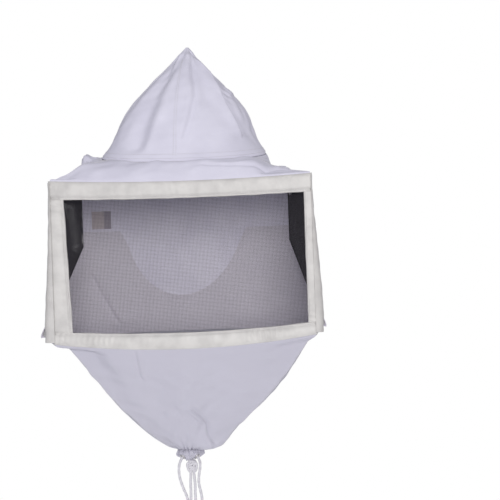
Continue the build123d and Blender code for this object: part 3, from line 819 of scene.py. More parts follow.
def brim_surface(plan_points, share):
    """Points of the brim, from its outer edge at share 0 to the crown's base seam at share 1."""
    shoulder = smooth_curve(TURNS, SHOULDER_TURNS, SHOULDERS)
    edge = plan_points
    seam = crown(plan_points, np.zeros(plan_points.shape[:-1]))[0]
    share = np.broadcast_to(share, plan_points.shape[:-1])
    rise = 1 - (1 - share) ** shoulder
    point = mix(edge, seam, share[..., None])
    point[..., 2] = mix(edge[..., 2], seam[..., 2], rise)
    x, y, z = (point[..., k].copy() for k in range(3))
    room = ease(share / 0.2) * ease((1 - share) / 0.12)
    in_front = ease((60 - y) / 20)
    crease = z - np.interp(x, *np.array(BRIM_CREASE, float).T)
    lift = 1.4 * ripples(x, y * 1.3 + z, 74, 8) + 0.5 * ripples(x, y + z, 21, 9)
    lift += 1.2 * np.cos(TAU * (x + 0.9 * y) / 60) * ease((np.abs(x) - 90) / 60)
    total = room * lift
    total -= in_front * ease((x - 15) / 25) * (1.6 * hump(crease, 2.2) - 0.9 * hump(crease - 5, 4))
    total -= 1.3 * hump((1 - share) * 60, 3)
    point[..., 2] += total * 0.85
    point[..., 1] -= total * 0.4 * in_front
    right_low = ease((x - 112) / 40) * ease(share / 0.12) * ease((1 - share) / 0.15)
    point[..., 2] -= 16 * right_low
    point[..., 2] = np.maximum(point[..., 2], edge[..., 2] + 16 * share)
    left_low = ease((-150 - x) / 30) * ease(share / 0.1) * ease((1 - share) / 0.3)
    point[..., 2] -= 6 * left_low
    for ear in EARS.values():
        from_ear = np.stack([x, y, z], -1) - np.array(ear["place"])
        far = np.linalg.norm(from_ear * (1, 1, 0.7), axis=-1)
        turn = np.arctan2(from_ear[..., 1], from_ear[..., 0])
        amount = hump(far, ear["width"]) * ease(share / 0.08)
        pucker = 1 + 0.22 * np.cos(7 * turn) * ease(far / 6)
        point += (amount * pucker)[..., None] * np.array(ear["lift"])
        point[..., 2] += 1.3 * np.cos(9 * turn + 0.5) * hump(far - 15, 8) * ease(share / 0.1)
    return point


SKIRT_CREASE = ((-79, -142), (-75, -190))
SKIRT_WRINKLE = ((-3, -240), (10, -254), (23, -268), (24, -300))


def skirt_surface(edge, share):
    """Points of the skirt, from the window's lower edge at share 0 to the gathered hem at share 1."""
    towards = edge[..., :2] - HEM[:2]
    reach = SKIRT_END_RADIUS / np.linalg.norm(towards, axis=-1, keepdims=True)
    end = np.concatenate([HEM[:2] + towards * reach, np.full_like(edge[..., :1], SKIRT_END_HEIGHT)], -1)
    point = mix(edge, end, share[..., None])
    point[..., 2] = mix(edge[..., 2], end[..., 2], 1 - (1 - share) ** SKIRT_FALL)
    x, y, z = (point[..., k].copy() for k in range(3))
    outward = np.stack([x - HEM[0], y - HEM[1], -0.5 * np.hypot(x - HEM[0], y - HEM[1])], -1)
    outward /= np.linalg.norm(outward, axis=-1, keepdims=True)
    turn = np.arctan2(y - HEM[1], x - HEM[0])
    room = ease(share / 0.12) * ease((1 - share) / 0.1)
    total = room * (1.8 * ripples(turn * 80, z * 0.6, 70, 21) + 0.6 * ripples(turn * 90, z, 24, 22))
    gather = ease((share - 0.72) / 0.28)
    total += gather**2 * (1.7 * np.cos(21 * turn + 1.5 * np.sin(3 * turn)) + 0.8 * np.cos(34 * turn))
    front = ease((HEM[1] - 10 - y) / 20)
    away, fade = from_line(x, z, SKIRT_CREASE)
    total += front * fade * (1.6 * hump(away - 4, 4) - 1.8 * hump(away, 3))
    away, fade = from_line(x, z, SKIRT_WRINKLE)
    total += front * fade * (2.4 * hump(away, 4) - 2.0 * hump(away - 7, 4))
    total += 20 * hump(share - 0.87, 0.11) * ease((x - HEM[0]) / 22) * (1 - share) ** 0.25
    drawn_in = ease((np.abs(x) - 120 * (1 - share)) / 50) * ease(share / 0.05)
    left_side = mix(16, 30, ease((y - 20) / 60)) * (1 - share) ** 1.5
    total -= drawn_in * np.where(x < 0, left_side, 8 * (1 - share) ** 4)
    hang = 5 * np.sin(math.pi * share) ** 2 * hump(np.abs(np.sin(2 * turn + 0.2)) - 1, 0.5)
    return point + outward * (total - hang)[..., None]


U_SEAM_HIGH, U_SEAM_LOW, U_SEAM_X, U_SEAM_CURVE = 50, -68, -8, 0.00832
NET_CREASE = ((-166, -24), (-150, -62), (-124, -110))


def u_seam(x):
    return np.minimum(U_SEAM_HIGH, U_SEAM_LOW + U_SEAM_CURVE * (x - U_SEAM_X) ** 2)


def rear_surface(across, height):
    point = rear_point(across, height)
    x, z = point[..., 0].copy(), point[..., 2].copy()
    room = ease((1 - np.abs(across)) / 0.12) * ease((TOP_SEAM - z) / 22) * ease((z - BOTTOM_SEAM) / 22)
    total = room * (2.0 * ripples(x, z * 0.6, 80, 31) + 0.6 * ripples(x, z, 26, 32))
    away, fade = from_line(x, z, NET_CREASE)
    total += fade * room * (3.5 * hump(away + 5, 5) - 4.5 * hump(away - 2, 4))
    total -= 0.9 * hump(z - u_seam(x), 3)
    point[..., 1] += total
    return point


def place_piece(piece, slot, *nodes, body="hood", folds=False):
    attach(piece, body)
    if nodes:
        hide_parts(*nodes)
    if folds:
        into_frame((0, 0, 0))
        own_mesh(piece)
    return piece


def place_cloth(name, faces, material, slot, *nodes, columns=None):
    """A piece of the hood's cloth, in its place."""
    return place_piece(cloth(name, faces, material, columns), slot, *nodes, folds=True)


def stitches(name, rows):
    """Rows of short raised stitches: each row is a line of points with the outward direction at each."""
    parts = []
    rings, sides = 4, 6
    spread = np.linspace(-1, 1, rings)
    fat = np.array((0.35, 1, 1, 0.35)) * STITCH_RADIUS
    turn = np.linspace(0, TAU, sides, endpoint=False)
    for line, normals in rows:
        along = np.concatenate([[0], np.linalg.norm(np.diff(line, axis=0), axis=1).cumsum()])
        for place in np.arange(STITCH_STEP, along[-1] - STITCH_STEP / 2, STITCH_STEP):
            middle, start, end = (
                np.array([np.interp(place + shift, along, line[:, k]) for k in range(3)])
                for shift in (0, -STITCH / 2, STITCH / 2)
            )
            normal = np.array([np.interp(place, along, normals[:, k]) for k in range(3)])
            normal /= np.linalg.norm(normal)
            ahead = (end - start) / 2
            sideways = np.cross(ahead, normal)
            sideways /= np.linalg.norm(sideways)
            arch = normal * STITCH_ARCH
            ring = [
                middle + ahead * s + arch * (1 - 2 * s * s)
                + f * (np.cos(turn)[:, None] * sideways + np.sin(turn)[:, None] * normal)
                for s, f in zip(spread, fat)
            ]
            parts.append(rings_mesh(np.array(ring)))
    return add_mesh(name, *joined(parts), THREAD)


def row_on(faces, where, lift=0.2):
    """A row for stitches, on the outer of a cloth's two faces."""
    line, under = (face[where] for face in faces)
    return line + (line - under) * lift, line - under


# ---------------------------------------------------------------- cords
def hank_route(side):
    """The put-away length: long loops side by side, drawn in at the waist by a tie."""
    x, y = HANKS[side]
    half = HANK_LENGTH / 2 - CORD / 2
    middle = HANK_TOP - HANK_LENGTH / 2
    arc = np.radians(np.arange(0, 181, 30))
    run = np.array((18, 0, -18))
    pinch = np.array((0.62 * HANK_BEND, HANK_WAIST, 0.62 * HANK_BEND))
    straight = half - HANK_BEND
    top = np.stack([HANK_BEND * np.cos(arc), straight + HANK_BEND * np.sin(arc)], -1)
    down = np.stack([-pinch, run], -1)
    bottom = np.stack([-HANK_BEND * np.cos(arc), -straight - HANK_BEND * np.sin(arc)], -1)
    turn = np.concatenate([top[3:], down, bottom, np.stack([pinch, -run], -1), top[:3]])
    to_foot = 9  # the points of a last half turn, which ends at the hank's foot
    points = np.concatenate([turn] * HANK_TURNS + [turn[:to_foot]])
    depths = np.linspace(-HANK_TURNS * CORD / 2, HANK_TURNS * CORD / 2, len(points))
    return [(x + px, y + 1.02 * depth, middle + pz) for (px, pz), depth in zip(points, depths)]


def add_cord(name, route, length, nodes):
    """A braided cord along a route from where it comes out."""
    line, rings = braided_tube(spline_line(route), CORD)
    cord = add_mesh(name, *rings_mesh(rings), CORD_COTTON)
    place_piece(cord, "cord", *nodes, folds=True)
    into_frame(route[0])
    into_frame(line)


def add_cords():
    """The drawstring's two free ends, each with its hank, tie and end knot, and the bow between them."""
    for side, route in (("left", LEFT_ROUTE), ("right", RIGHT_ROUTE)):
        x, y = HANKS[side]
        hank = hank_route(side)
        last = hank[-1]
        end = [(mix(last[0], x, 0.6), mix(last[1], y, 0.4), last[2] - 5), (x, y, END_KNOT_HEIGHT)]
        tie = place_piece(hank_tie(side), "cord", f"hank_tie_{side}", folds=True)
        knot = place_piece(end_knot(side), "cord", f"end_knot_{side}", folds=True)
        nodes = f"cord_{side}", f"hank_{side}"
        add_cord(f"drawstring_{side}", (*route, *hank, *end), CORD_LENGTH, nodes)
    knot = place_piece(bow_knot(), "cord", "bow_knot", folds=True)
    add_cord("bow", LOOP_ROUTE, BOW_LENGTH, ["bow_loop"])


def wrap(middle, half_x, half_y, turned, diameter, power=1.0):
    """One closed turn of cord, level until it is turned by degrees about X, then about Y."""
    turn = np.linspace(0, TAU, 48, endpoint=False)
    x = half_x * np.sign(np.cos(turn)) * np.abs(np.cos(turn)) ** power
    y = half_y * np.sign(np.sin(turn)) * np.abs(np.sin(turn)) ** power
    about_x, about_y = (
        Matrix.Rotation(math.radians(angle), 3, axis) for angle, axis in zip(turned, "XY")
    )
    line = np.stack([x, y, 0 * x], -1) @ np.array(about_y @ about_x).T
    _, rings = braided_tube(line + middle, diameter, closed=True, sides=14)
    return rings_mesh(rings, closed=True)


def turns_of_cord(name, place, turns):
    """Several closed turns as one piece. Each gives its shift from the place, then what wrap needs."""
    parts = [wrap(np.asarray(place) + shift, *rest) for shift, *rest in turns]
    return add_mesh(name, *joined(parts), CORD_COTTON)


def bow_knot():
    """Level turns drawn tight, with a slack lobe of cord to each side in front of them."""
    turns = (
        ((0, 0.5, 8.0), 4.6, 3.2, (12, 10), 4.4),
        ((0.6, 0, 4.0), 5.6, 3.6, (-8, -22), 4.4),
        ((-0.4, 0.4, -0.6), 5.2, 3.6, (6, 18), 4.4),
        ((0.2, 0.2, -5.2), 4.6, 3.2, (-8, -12), 4.4),
        ((-4.4, -2.6, -1.4), 2.9, 7.2, (84, -14), 4.0),
        ((4.6, -2.6, -2.2), 2.7, 7.4, (96, 12), 4.0),
    )
    return turns_of_cord("bow_knot_turns", KNOT, turns)


def end_knot(side):
    turns = (
        ((0, 0, 1.2), 2.5, 2.5, (12, 30), 3.4),
        ((0, 0, -1.0), 2.6, 2.5, (18, -34), 3.4),
        ((0, 0, 0), 2.3, 2.4, (-48, 4), 3.2),
    )
    return turns_of_cord(f"end_knot_turns_{side}", (*HANKS[side], END_KNOT_HEIGHT), turns)


def hank_tie(side):
    half_x = HANK_WAIST + CORD / 2 + 1.0
    half_y = HANK_TURNS * CORD / 2 + CORD / 2 + 1.2
    leaning = ((-3.2, 4, 1), (-1.5, -3, 1.5), (0.3, 3, -1), (2.0, -2, -1.5), (3.7, 4, 1))
    turns = [((0, 0, shift), half_x, half_y, (lean, tilt), 1.8, 0.7) for shift, tilt, lean in leaning]
    return turns_of_cord(f"hank_wrap_{side}", (*HANKS[side], HANK_TOP - HANK_LENGTH / 2), turns)


# ---------------------------------------------------------------- window and side screens
def woven_screen(name, place, across, heights, depth, seed, pitch, radius, look):
    """Wire mesh: straight upright wires, and level wires that pass in front of and behind them in turn."""
    columns = np.arange(across[0], across[1], pitch)
    rows = np.arange(heights[0], heights[1], pitch)
    ring = np.radians((45, 135, 225, 315))
    cos, sin = np.cos(ring) * radius, np.sin(ring) * radius

    def sway(a, b):
        """How far the mesh stands out of its plane, which fades towards its edges."""
        from_ends = np.minimum(a - across[0], across[1] - a)
        from_top_and_foot = np.minimum(b - heights[0], heights[1] - b)
        return ease(np.minimum(from_ends, from_top_and_foot) / 40) * 1.1 * ripples(a, b, 150, seed)

    def level_wires():
        i = np.arange(len(columns))
        for k, height in enumerate(rows):
            over = np.where((i + k) % 2 == 0, 1.0, -1.0) * radius * 1.1
            a, b, c = columns[:, None], height + sin[None], depth + over[:, None] + cos[None]
            yield place(a + 0 * b, b + 0 * a, c + sway(a, height))

    def upright_wires():
        steps = np.unique(np.append(np.linspace(heights[0], heights[1], 13), BEND_HEIGHT))
        for a in columns:
            b, c = steps[:, None], depth + cos[None]
            yield place(a + sin[None] + 0 * b, b + 0 * cos[None], c + sway(a, b))

    points, faces, start = [], [], 0
    for wires, turned in ((level_wires(), 1), (upright_wires(), -1)):
        for rings in wires:
            ends = np.array([[3, 2, 1, 0], [0, 1, 2, 3]]) + [[start], [start + 4 * (len(rings) - 1)]]
            sides = quads(len(rings), 4, closed=True, start=start)
            faces.append(np.concatenate([sides, ends])[:, ::turned])
            points.append(rings.reshape(-1, 3))
            start += 4 * len(rings)
    return add_mesh(name, np.concatenate(points), np.concatenate(faces), look)


def binding(name, place, inner, outer, thickness, seed, upright=False, pucker=1.0, gather=None):
    """A puffed strip of satin folded round an edge and sewn near its inner side.
    inner and outer give the strip's two edges, in the plane of its panel, at shares of its length. Each of
    gather is a place along it, how far its folds reach and how high they are; the sign is their lean."""
    start, end = inner(np.array([0.0, 1.0]))
    length = np.linalg.norm(end - start)
    count = int(length / BINDING_STEP)
    share = np.linspace(0, 1, count)
    turn = np.linspace(0, TAU, BINDING_SIDES, endpoint=False)
    cos, sin = np.cos(turn), np.sin(turn)
    v = np.sign(cos) * np.abs(cos) ** (1 / 3)
    d = np.sign(sin) * np.abs(sin) ** 0.72
    along = share * length
    lengthways = along[:, None]
    width = np.linalg.norm(outer(share) - inner(share), axis=1)[:, None]
    sewn = -1 + 2 * SEWN_LINE / width
    tightness = 0.62 + 0.14 * np.cos(TAU * lengthways / STITCH_STEP)
    groove = hump((v[None] - sewn) * width / 2, 1.3) * tightness
    flat = mix(inner(share)[:, None], outer(share)[:, None], ((v + 1) / 2)[None, :, None])
    a, b = flat[..., 0], flat[..., 1]
    near_seam = 0.35 + 0.65 * hump((v[None] - sewn) / 2, 0.55)
    slant = lengthways + 0.75 * v[None] * width / 2
    fine = ripples(slant, v[None] * width * 0.22, 11, seed)
    broad = ripples(lengthways, v[None] * width * 0.7, 44, seed + 1)
    gathers = 0.0
    for centre, reach, strength in gather or ():
        leaning = lengthways + math.copysign(0.9, strength) * v[None] * width / 2
        amount = abs(strength) * hump(lengthways - centre * length, reach)
        gathers = gathers + amount * np.cos(TAU * leaning / GATHER_STEP)
    puff = pucker * (0.34 * fine * near_seam + 0.4 * broad) + gathers
    end_taper = ease(np.minimum(lengthways, length - lengthways) / 2.5) * 0.75 + 0.25
    swell = (1 - 0.22 * np.abs(v[None]) ** 3) * (1 - groove) * end_taper
    puff = puff * (1 - v[None] ** 6) * np.where(d < 0, 0.9, 0.2) * np.abs(d)
    depth = thickness / 2 + d[None] * (thickness / 2 * swell + puff)
    wander = 0.35 * ripples(lengthways, 0 * lengthways, 38, seed + 2) * (np.abs(v[None]) > 0.98)
    if upright:
        a = a + wander
    else:
        b = b + wander
    points, faces = rings_mesh(place(a, b, depth))
    uv = stacked(lengthways, v[None] * width / 2 + d[None]).reshape(-1, 2)
    strip = add_mesh(name, points, faces, SATIN, uv)
    line_share = np.linspace(0.004, 0.996, max(count // 2, 4))
    rows = []
    for depth_side in (-1, 1):
        line_width = np.linalg.norm(outer(line_share) - inner(line_share), axis=1)
        flat = mix(inner(line_share), outer(line_share), (SEWN_LINE / line_width)[:, None])
        level = thickness / 2 * (1 + depth_side * 0.42)
        line = place(flat[:, 0], flat[:, 1], level + 0 * line_share)
        further = place(flat[:, 0], flat[:, 1], level + depth_side + 0 * line_share)
        rows.append((line, further - line))
    return strip, rows


def line_between(a0, b0, a1, b1, sag=0):
    """A straight edge of a panel, or one whose middle hangs."""
    def edge(share):
        b = mix(b0, b1, share) - sag * (1 - (2 * share - 1) ** 2)
        return np.stack([mix(a0, a1, share), b], -1)
    return edge


def add_bindings(prefix, node, place, strips, depth, thinner, seeds, **how):
    """The four bindings of a panel, each its edges and extras, and their stitches. The upright ones are
    thinner, so that they end inside the level ones."""
    body = how.pop("body", "hood")
    rows = []
    for seed, (name, (inner, outer, extra)) in zip(seeds, strips.items()):
        thickness = depth if name in ("top", "bottom") else depth - thinner
        strip, strip_rows = binding(
            f"{prefix}satin_{name}", place, inner, outer, thickness, seed, **how, **extra
        )
        place_piece(strip, "binding", f"{node}_binding_{name}", body=body)
        rows += strip_rows
    return rows


def add_window():
    """The front window: its mesh, its four bindings and their stitches."""
    add_window_mesh()
    w, h = HALF_WIDTH, HALF_HEIGHT
    low, high = BOTTOM_BINDING - h, h - TOP_BINDING
    tuck = 2
    left, right = LEFT_BINDING - w, w - RIGHT_BINDING
    strips = {
        "top": (
            line_between(-w, high, w, high, TOP_BINDING_SAG),
            line_between(-w, h, w, h, TOP_SAG),
            {"gather": ((0.03, 12, 0.7), (0.48, 14, 0.5), (0.9, 22, -0.5))},
        ),
        "bottom": (
            line_between(-w, low, w, low, BOTTOM_BINDING_SAG),
            line_between(-w, -h, w, -h, WINDOW_SAG),
            {"gather": ((0.03, 10, 0.9), (0.17, 34, 0.8), (0.8, 36, -0.9))},
        ),
        "left": (
            line_between(left + LEFT_SLANT, low - tuck - 2, left, high - 1 + tuck),
            line_between(-w, low - tuck, -w, high + tuck),
            {"upright": True, "gather": ((0.05, 14, 0.6), (0.93, 14, -0.6))},
        ),
        "right": (
            line_between(right, low - tuck, right, high - 0.6 + tuck),
            line_between(w, low - tuck, w, high + tuck),
            {"upright": True, "gather": ((0.06, 14, -0.7),)},
        ),
    }
    rows = add_bindings("", "front", front_point, strips, WINDOW_DEPTH, 0.5, range(50, 70, 5))
    place_piece(stitches("window_stitching", rows), "binding")


def add_window_mesh():
    across = (LEFT_BINDING - HALF_WIDTH - 8, HALF_WIDTH - RIGHT_BINDING + 7)
    heights = (BOTTOM_BINDING - HALF_HEIGHT - 15, HALF_HEIGHT - TOP_BINDING + 6)
    middle = WINDOW_DEPTH / 2
    screen = woven_screen(
        "window_mesh", front_point, across, heights, middle, 41, WIRE_PITCH, WIRE_RADIUS, BLACK_WIRE
    )
    place_piece(screen, "screen", "front_screen")


def add_side(side, seed):
    """A side screen: its mesh, its four bindings and their stitches."""
    body = f"{side}_wing"

    def place(along, height, out):
        return side_point(side, along, out, height)

    h, far = HALF_HEIGHT, SIDE_LENGTH
    low, high = BOTTOM_BINDING - h, h - TOP_BINDING
    near, tuck = 0.4, 2
    wire = SIDE_WIRE_PITCH, SIDE_WIRE_RADIUS, SIDE_WIRE_PAINTED_DARKER
    screen = woven_screen(f"{side}_mesh", place, (3, far - 1.5), (2 - h, h - 2), -0.1, seed, *wire)
    place_piece(screen, "screen", f"{side}_side_screen", body=body)
    strips = {
        "top": (line_between(near, high, far, high), line_between(near, h, far, h), {}),
        "bottom": (
            line_between(near, low, far, low),
            line_between(near, -h, far, -h),
            {"gather": ((0.1, 16, 0.8), (0.85, 20, -0.8))},
        ),
        "front": (
            line_between(SIDE_BINDING, low - tuck, SIDE_BINDING, high + tuck),
            line_between(near, low - tuck, near, high + tuck),
            {"upright": True},
        ),
        "rear": (
            line_between(far - SIDE_BINDING, low - tuck, far - SIDE_BINDING, high + tuck),
            line_between(far, low - tuck, far, high + tuck),
            {"upright": True, "gather": ((0.08, 18, 0.7),)},
        ),
    }
    how = {"seeds": range(seed, seed + 28, 7), "body": body, "pucker": 0.8}
    rows = add_bindings(f"{side}_", f"{side}_side", place, strips, SIDE_THICKNESS, 0.4, **how)
    place_piece(stitches(f"{side}_side_stitching", rows), "binding", body=body)


def add_corner_ribbon(side):
    """The satin ribbon that hinges a side screen to the window. It is slack, more so lower down."""
    sign = SIDE_SIGN[side]
    heights = np.linspace(3 - HALF_HEIGHT, HALF_HEIGHT - 3, 130)[:, None]
    share = np.linspace(0, 1, 26)[None]
    slack = smooth_curve(heights, RIBBON_HEIGHTS, RIBBON_SLACK[side])
    on_window = np.array((sign * (HALF_WIDTH - 2.5), -0.6, 0)) + heights[..., None] * (0, 0, 1)
    on_side = side_point(side, 21 + 0 * heights, SIDE_THICKNESS + 0.8, heights)
    rows = mix(on_window, on_side, share[..., None])
    bow = np.sin(math.pi * np.clip(share / 0.92, 0, 1) ** 0.62) ** 0.8
    wrinkles = 0.5 * np.sin(math.pi * share) * ripples(heights, share * 20, 26, 90)
    rows[..., 0] += sign * ((slack + 1.5) * bow + wrinkles)
    ribbon = cloth(f"{side}_corner_ribbon", shell(rows, INSIDE_HOOD, 0.7), SATIN)
    into_frame((sign * HINGE_X, HINGE_Y - 4, 0))
    into_frame((sign * HINGE_X, HINGE_Y + 8, 0))
    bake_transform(ribbon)
    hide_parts(f"corner_tape_{side}")


# ---------------------------------------------------------------- cloth of the hood
GORES = {
    "front_right": (0.47, 1.5),
    "rear_right": (1.5, 2.5),
    "rear_left": (2.5, 3.5),
    "front_left": (3.5, 0.47),
}
SIDES = {"front": (0, 1), "right": (1, 2), "rear": (2, 3), "left": (3, 0)}
FLAT_SIZES = {  # width, length and the share of that rectangle that the cut fills
    "gore_front_right": (0.20, 0.24, 0.48),
    "gore_front_left": (0.20, 0.24, 0.48),
    "gore_rear_right": (0.20, 0.24, 0.48),
    "gore_rear_left": (0.20, 0.24, 0.48),
    "brim_panel_front": (0.41, 0.075, 0.65),
    "brim_panel_right": (0.20, 0.11, 0.7),
    "brim_panel_rear": (0.42, 0.12, 0.6),
    "brim_panel_left": (0.20, 0.11, 0.7),
    "net_panel_front": (0.41, 0.22, 0.55),
    "net_panel_right": (0.21, 0.30, 0.52),
    "net_panel_rear": (0.50, 0.28, 0.52),
    "net_panel_left": (0.21, 0.30, 0.52),
    "back_cotton_painted_lighter": (0.42, 0.20, 0.65),
    "back_net_painted_lighter": (0.52, 0.18, 0.72),
}


def declare_sheet(piece):
    width, length, filled = FLAT_SIZES[piece.name]


def add_crown():
    """The crown's four gores, their felled seams and stitches."""
    rise = np.linspace(0, 1, 108)[:, None] ** 0.94
    rows = crown_surface(np.tile(BRIM_EDGE, (len(rise), 1, 1)), rise)
    faces = shell(rows, INSIDE_CROWN, CLOTH, closed=True)
    for name, (start, end) in GORES.items():
        columns = between_columns(start, end)
        gore = place_cloth(f"gore_{name}", faces, COTTON, "cotton", f"crown_gore_{name}", columns=columns)
        declare_sheet(gore)
    add_elastic_band(rows)

    sewn = [row_on(faces, (row, ALL_ROUND)) for row in (2, 5)]
    for name, (start, _) in GORES.items():
        c = column(start)
        sewn += [row_on(faces, np.s_[3:-14, c + shift], 0.5) for shift in (-1, 1)]
        fell, under = (face[1:-10, c - 2 : c + 3] for face in faces)
        lift = (fell - under) / CLOTH
        arch = (0.3 * (1 - (np.abs(np.arange(-2, 3)) / 2.5) ** 2))[None, :, None]
        place_cloth(f"felled_seam_{name}", (fell + lift * arch, fell - lift * 0.25), COTTON, "cotton")
    place_piece(stitches("crown_stitching", sewn), "cotton", folds=True)


def add_elastic_band(crown_rows):
    """The ribbed band inside the crown's base seam."""
    band_rows = shell(crown_rows[:24], INSIDE_CROWN, 2 * (CLOTH + BAND_GAP), closed=True)[1][1:13]
    waves = 0.35 * np.cos(TAU * np.arange(band_rows.shape[1]) / 5)[None, :, None]
    toward_middle = (np.array((4, CROWN_Y, 180)) - band_rows) * (1, 1, 0)
    toward_middle /= np.linalg.norm(toward_middle, axis=-1, keepdims=True)
    band_rows = band_rows + toward_middle * (0.9 + waves)
    band = shell(band_rows, INSIDE_BAND, BAND_THICKNESS, closed=True)
    place_cloth("elastic_band", band, ELASTIC, "elastic", "headband_elastic", columns=ALL_ROUND)


def add_brim():
    """The brim's four panels and their stitches. Its rear edge hangs outside the rear panel."""
    share = np.linspace(0, 1, 46)[:, None]
    rows = brim_surface(np.tile(BRIM_EDGE, (len(share), 1, 1)), share)
    hem = rows[:1] - (0, 0, SEWN_IN)
    hem[:, AT_REAR] += (0, BRIM_OVER_REAR, -2)
    rows = np.concatenate([hem, rows])
    faces = shell(rows, INSIDE_BRIM, CLOTH, closed=True)
    for name, (start, end) in SIDES.items():
        columns = between_columns(start, end)
        panel = place_cloth(f"brim_panel_{name}", faces, COTTON, "cotton", f"brim_{name}", columns=columns)
        declare_sheet(panel)
    sewn = [row_on(faces, (row, ALL_ROUND)) for row in (-4, -6)]
    for turn in range(4):
        sewn += [row_on(faces, np.s_[3:-3, column(turn) + shift]) for shift in (-2, 2)]
    place_piece(stitches("brim_stitching", sewn), "cotton", folds=True)


def rear_grid(top, foot, count):
    """Rows of the rear panel between two heights, each a number or a function of x. The two side edges
    lap round the side screens' rear bindings."""
    across = np.linspace(-1, 1, 130)
    x = rear_point(across, np.zeros(across.shape))[..., 0]
    top, foot = (height(x) if callable(height) else height + 0 * x for height in (top, foot))
    heights = np.stack([mix(top, foot, share) for share in np.linspace(0, 1, count)])
    rows = rear_surface(np.broadcast_to(across, heights.shape), heights)
    laps = {}
    for side, edge in (("right", 0), ("left", -1)):
        level = heights[:, edge][:, None]
        along = np.array((SIDE_LENGTH - 9, SIDE_LENGTH - 4.5, SIDE_LENGTH + 0.5))
        laps[side] = side_point(side, along[None], SIDE_THICKNESS + 0.9, level + 0 * along[None])
    return np.concatenate([laps["right"], rows, laps["left"][:, ::-1]], axis=1)


def place_rear(name, rows, thickness, material, slot, *nodes):
    return place_cloth(name, shell(rows, INSIDE_HOOD, thickness), material, slot, *nodes)


def add_back():
    """The rear panel: cotton with a hemmed U-shaped edge, net below it, a header tape and a blank label."""
    hem_top, hem_foot, overlap = 9, -4, 2  # from the line of the U-shaped seam

    def from_seam(rise):
        return lambda x: u_seam(x) + rise

    rows = rear_grid(TOP_SEAM + 0.6, from_seam(hem_foot), 76)
    cotton = place_rear("back_cotton_painted_lighter", rows, CLOTH, BACK_COTTON_PAINTED_LIGHTER, "cotton", "rear_cloth")
    declare_sheet(cotton)
    rows = rear_grid(from_seam(overlap), BOTTOM_SEAM - 2, 70) - (0, 1.0, 0)
    net = place_rear("back_net_painted_lighter", rows, NET, BACK_NET_PAINTED_LIGHTER, "net", "rear_net")
    declare_sheet(net)

    rows = rear_grid(from_seam(hem_top), from_seam(hem_foot), 8)[:, 3:-3] + (0, CLOTH + 0.1, 0)
    place_rear("back_hem", rows, 0.5, BACK_COTTON_PAINTED_LIGHTER, "cotton")
    outward = np.tile((0.0, 1.0, 0.0), (rows.shape[1], 1))
    sewn = [(rows[row] + (0, 0.4, 0), outward) for row in (1, -2)]
    place_piece(stitches("back_stitching", sewn), "cotton", folds=True)

    inward = (0, -CLOTH - 0.7, 0)
    rows = rear_grid(*HEADER_HEIGHTS, 18)[:, 3:-3] + inward
    place_rear("header_tape", rows, TAPE, BACK_COTTON_PAINTED_LIGHTER, "binding", "rear_header_band")
    label_low, label_high = node_box("care_label")
    across = np.linspace(*LABEL_ACROSS, 24)
    heights = np.linspace(label_high[2] - MIDDLE[2], label_low[2] - MIDDLE[2], 20)[:, None] + 0 * across
    rows = rear_surface(np.broadcast_to(across, heights.shape), heights) + inward
    place_rear("blank_label", rows, TAPE, LABEL_WITH_PAINTED_SHADE, "label", "care_label")


def add_skirt():
    """The skirt's four net panels and their seams. Its rear edge hangs outside the rear panel."""
    share = np.linspace(0, 1, 96)[:, None] ** 1.04
    edge = np.tile(SKIRT_EDGE, (len(share), 1, 1))
    rows = skirt_surface(edge, np.broadcast_to(share, edge.shape[:2]))
    top = rows[:1] + (0, 0, SEWN_IN)
    top[:, AT_REAR] += (0, SKIRT_OVER_REAR, 2)
    end = rows[-1:] - (0, 0, 3.5)
    rows = np.concatenate([top, rows, end])
    faces = shell(rows, INSIDE_SKIRT, NET, closed=True)
    hem = add_hem()
    for name, (start, finish) in SIDES.items():
        columns = between_columns(start, finish)
        panel = place_cloth(f"net_panel_{name}", faces, WHITE_NET, "net", f"skirt_{name}", columns=columns)
        declare_sheet(panel)
    sewn = [row_on(faces, np.s_[3:-6, column(turn)], 0.3) for turn in range(4)]
    place_piece(stitches("skirt_stitching", sewn), "net", folds=True)


def eyelet_axis(sign):
    """A point inside the hem and the outward direction of an eyelet's hole."""
    turn, drop = math.radians(sign * EYELET_TURN), math.radians(EYELET_DROP)
    outward = np.array((math.sin(turn) * math.cos(drop), -math.cos(turn) * math.cos(drop), -math.sin(drop)))
    inside = HEM + HEM_RADIUS * np.array((math.sin(turn), -math.cos(turn), 0))
    return inside, outward


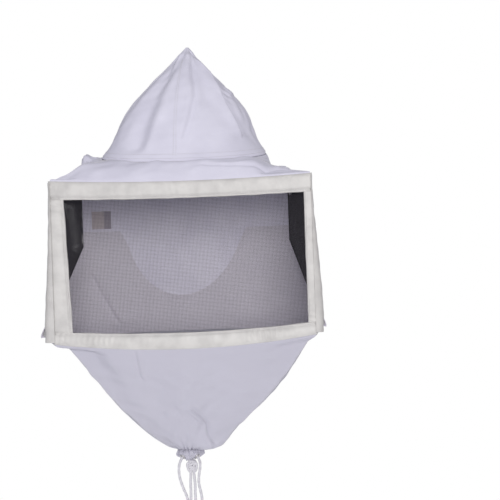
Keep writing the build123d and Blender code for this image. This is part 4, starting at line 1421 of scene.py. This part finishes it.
def add_hem():
    """The gathered casing, flattened where each eyelet sits, the cord inside it, and the two eyelets."""
    turn = np.linspace(0, TAU, 300, endpoint=False)[:, None]
    section = np.linspace(0, TAU, 36, endpoint=False)[None]
    pleats = 1.5 * np.cos(17 * turn + 2.2 * np.sin(2 * turn)) + 0.8 * np.cos(29 * turn + section)
    radius = HEM_THICKNESS * (0.94 + 0.08 * np.sin(3 * turn + 1))
    radius = radius + pleats * (0.5 + 0.5 * np.abs(np.cos(section)))
    radius = radius + 0.9 * ripples(turn * 15, section * 7, 10, 71)
    in_front = hump(np.angle(np.exp(1j * (turn - 1.5 * math.pi))), 0.42)
    radius = radius + 2.6 * in_front * np.clip(-np.sin(section), 0, 1)
    reach = HEM_RADIUS + radius * np.cos(section) * 0.92
    rings = HEM + stacked(reach * np.cos(turn), reach * np.sin(turn), radius * np.sin(section))
    for sign in SIDE_SIGN.values():
        inside, outward = eyelet_axis(sign)
        away = rings - inside
        height = away @ outward
        far = np.linalg.norm(away - height[..., None] * outward, axis=-1)
        target = np.where(height > 0, EYELET_SEAT - 0.1 - height, 0)
        rings = rings + (target * ease((8.5 - far) / 3) * (height > 2))[..., None] * outward
    points, faces = rings_mesh(rings, closed=True)
    uv = stacked(turn * HEM_RADIUS, section * HEM_THICKNESS).reshape(-1, 2)
    hem = add_mesh("gathered_hem", points, faces, WHITE_NET, uv)
    place_piece(hem, "net_hem", "hem_casing", folds=True)

    angles = np.radians(np.linspace(-EYELET_TURN, EYELET_TURN - 360, 90))
    ring = HEM + HEM_RADIUS * np.stack([np.sin(angles), -np.cos(angles), 0 * angles], -1)
    _, rings = braided_tube(ring, CORD)
    inner = add_mesh("drawstring_in_hem", *rings_mesh(rings), CORD_COTTON)
    place_piece(inner, "cord", "hem_drawstring", folds=True)

    for side, sign in SIDE_SIGN.items():
        place_piece(lathe(f"nickel_eyelet_{side}", RIM, sign), "eyelet", f"eyelet_{side}", folds=True)
        ring = lathe(f"nickel_washer_{side}", WASHER, sign)
        place_piece(ring, "eyelet", f"eyelet_washer_{side}", folds=True)
    return hem


RIM = (  # the eyelet's profile: radius and height
    (2.9, -2.6), (2.5, -2.5), (2.45, 0.2), (2.6, 0.9), (3.0, 1.25), (3.6, 1.35), (4.3, 1.2), (4.8, 0.75),
    (5.0, 0.2), (4.75, -0.05), (3.2, 0.0),
)
WASHER = ((2.95, -1.4), (4.9, -1.4), (5.0, -1.6), (5.0, -1.85), (4.8, -2.0), (2.95, -2.0))


def lathe(name, profile, sign):
    """A ring turned from a profile of (radius, height) about an eyelet's axis."""
    inside, outward = eyelet_axis(sign)
    first = np.cross(outward, (0, 0, 1))
    first /= np.linalg.norm(first)
    second = np.cross(outward, first)
    turn = np.linspace(0, TAU, 40, endpoint=False)
    around = np.cos(turn)[:, None] * first + np.sin(turn)[:, None] * second
    base = inside + outward * EYELET_SEAT
    rings = np.array([base + outward * height + radius * around for radius, height in profile])
    points, faces = rings_mesh(rings, closed=True)
    return add_mesh(name, points, faces, NICKEL)


# ---------------------------------------------------------------- the whole
def finish_cad_parts():
    """Gives the spring wires of the CAD model, which stay in view, their steel."""
    for node in ("front_wire_frame", "left_side_wire_frame", "right_side_wire_frame"):
        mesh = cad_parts[node].data
        mesh.materials.clear()
        mesh.materials.append(STEEL)


add_camera()
add_cords()
add_window()
for side, seed in (("left", 110), ("right", 170)):
    add_side(side, seed)
    add_corner_ribbon(side)
add_crown()
add_brim()
add_back()
add_skirt()
finish_cad_parts()
add_studio()

boxes = {"cad": cad_bounds, "visual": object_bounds()}
{name: [list(corner) for corner in box] for name, box in boxes.items()}
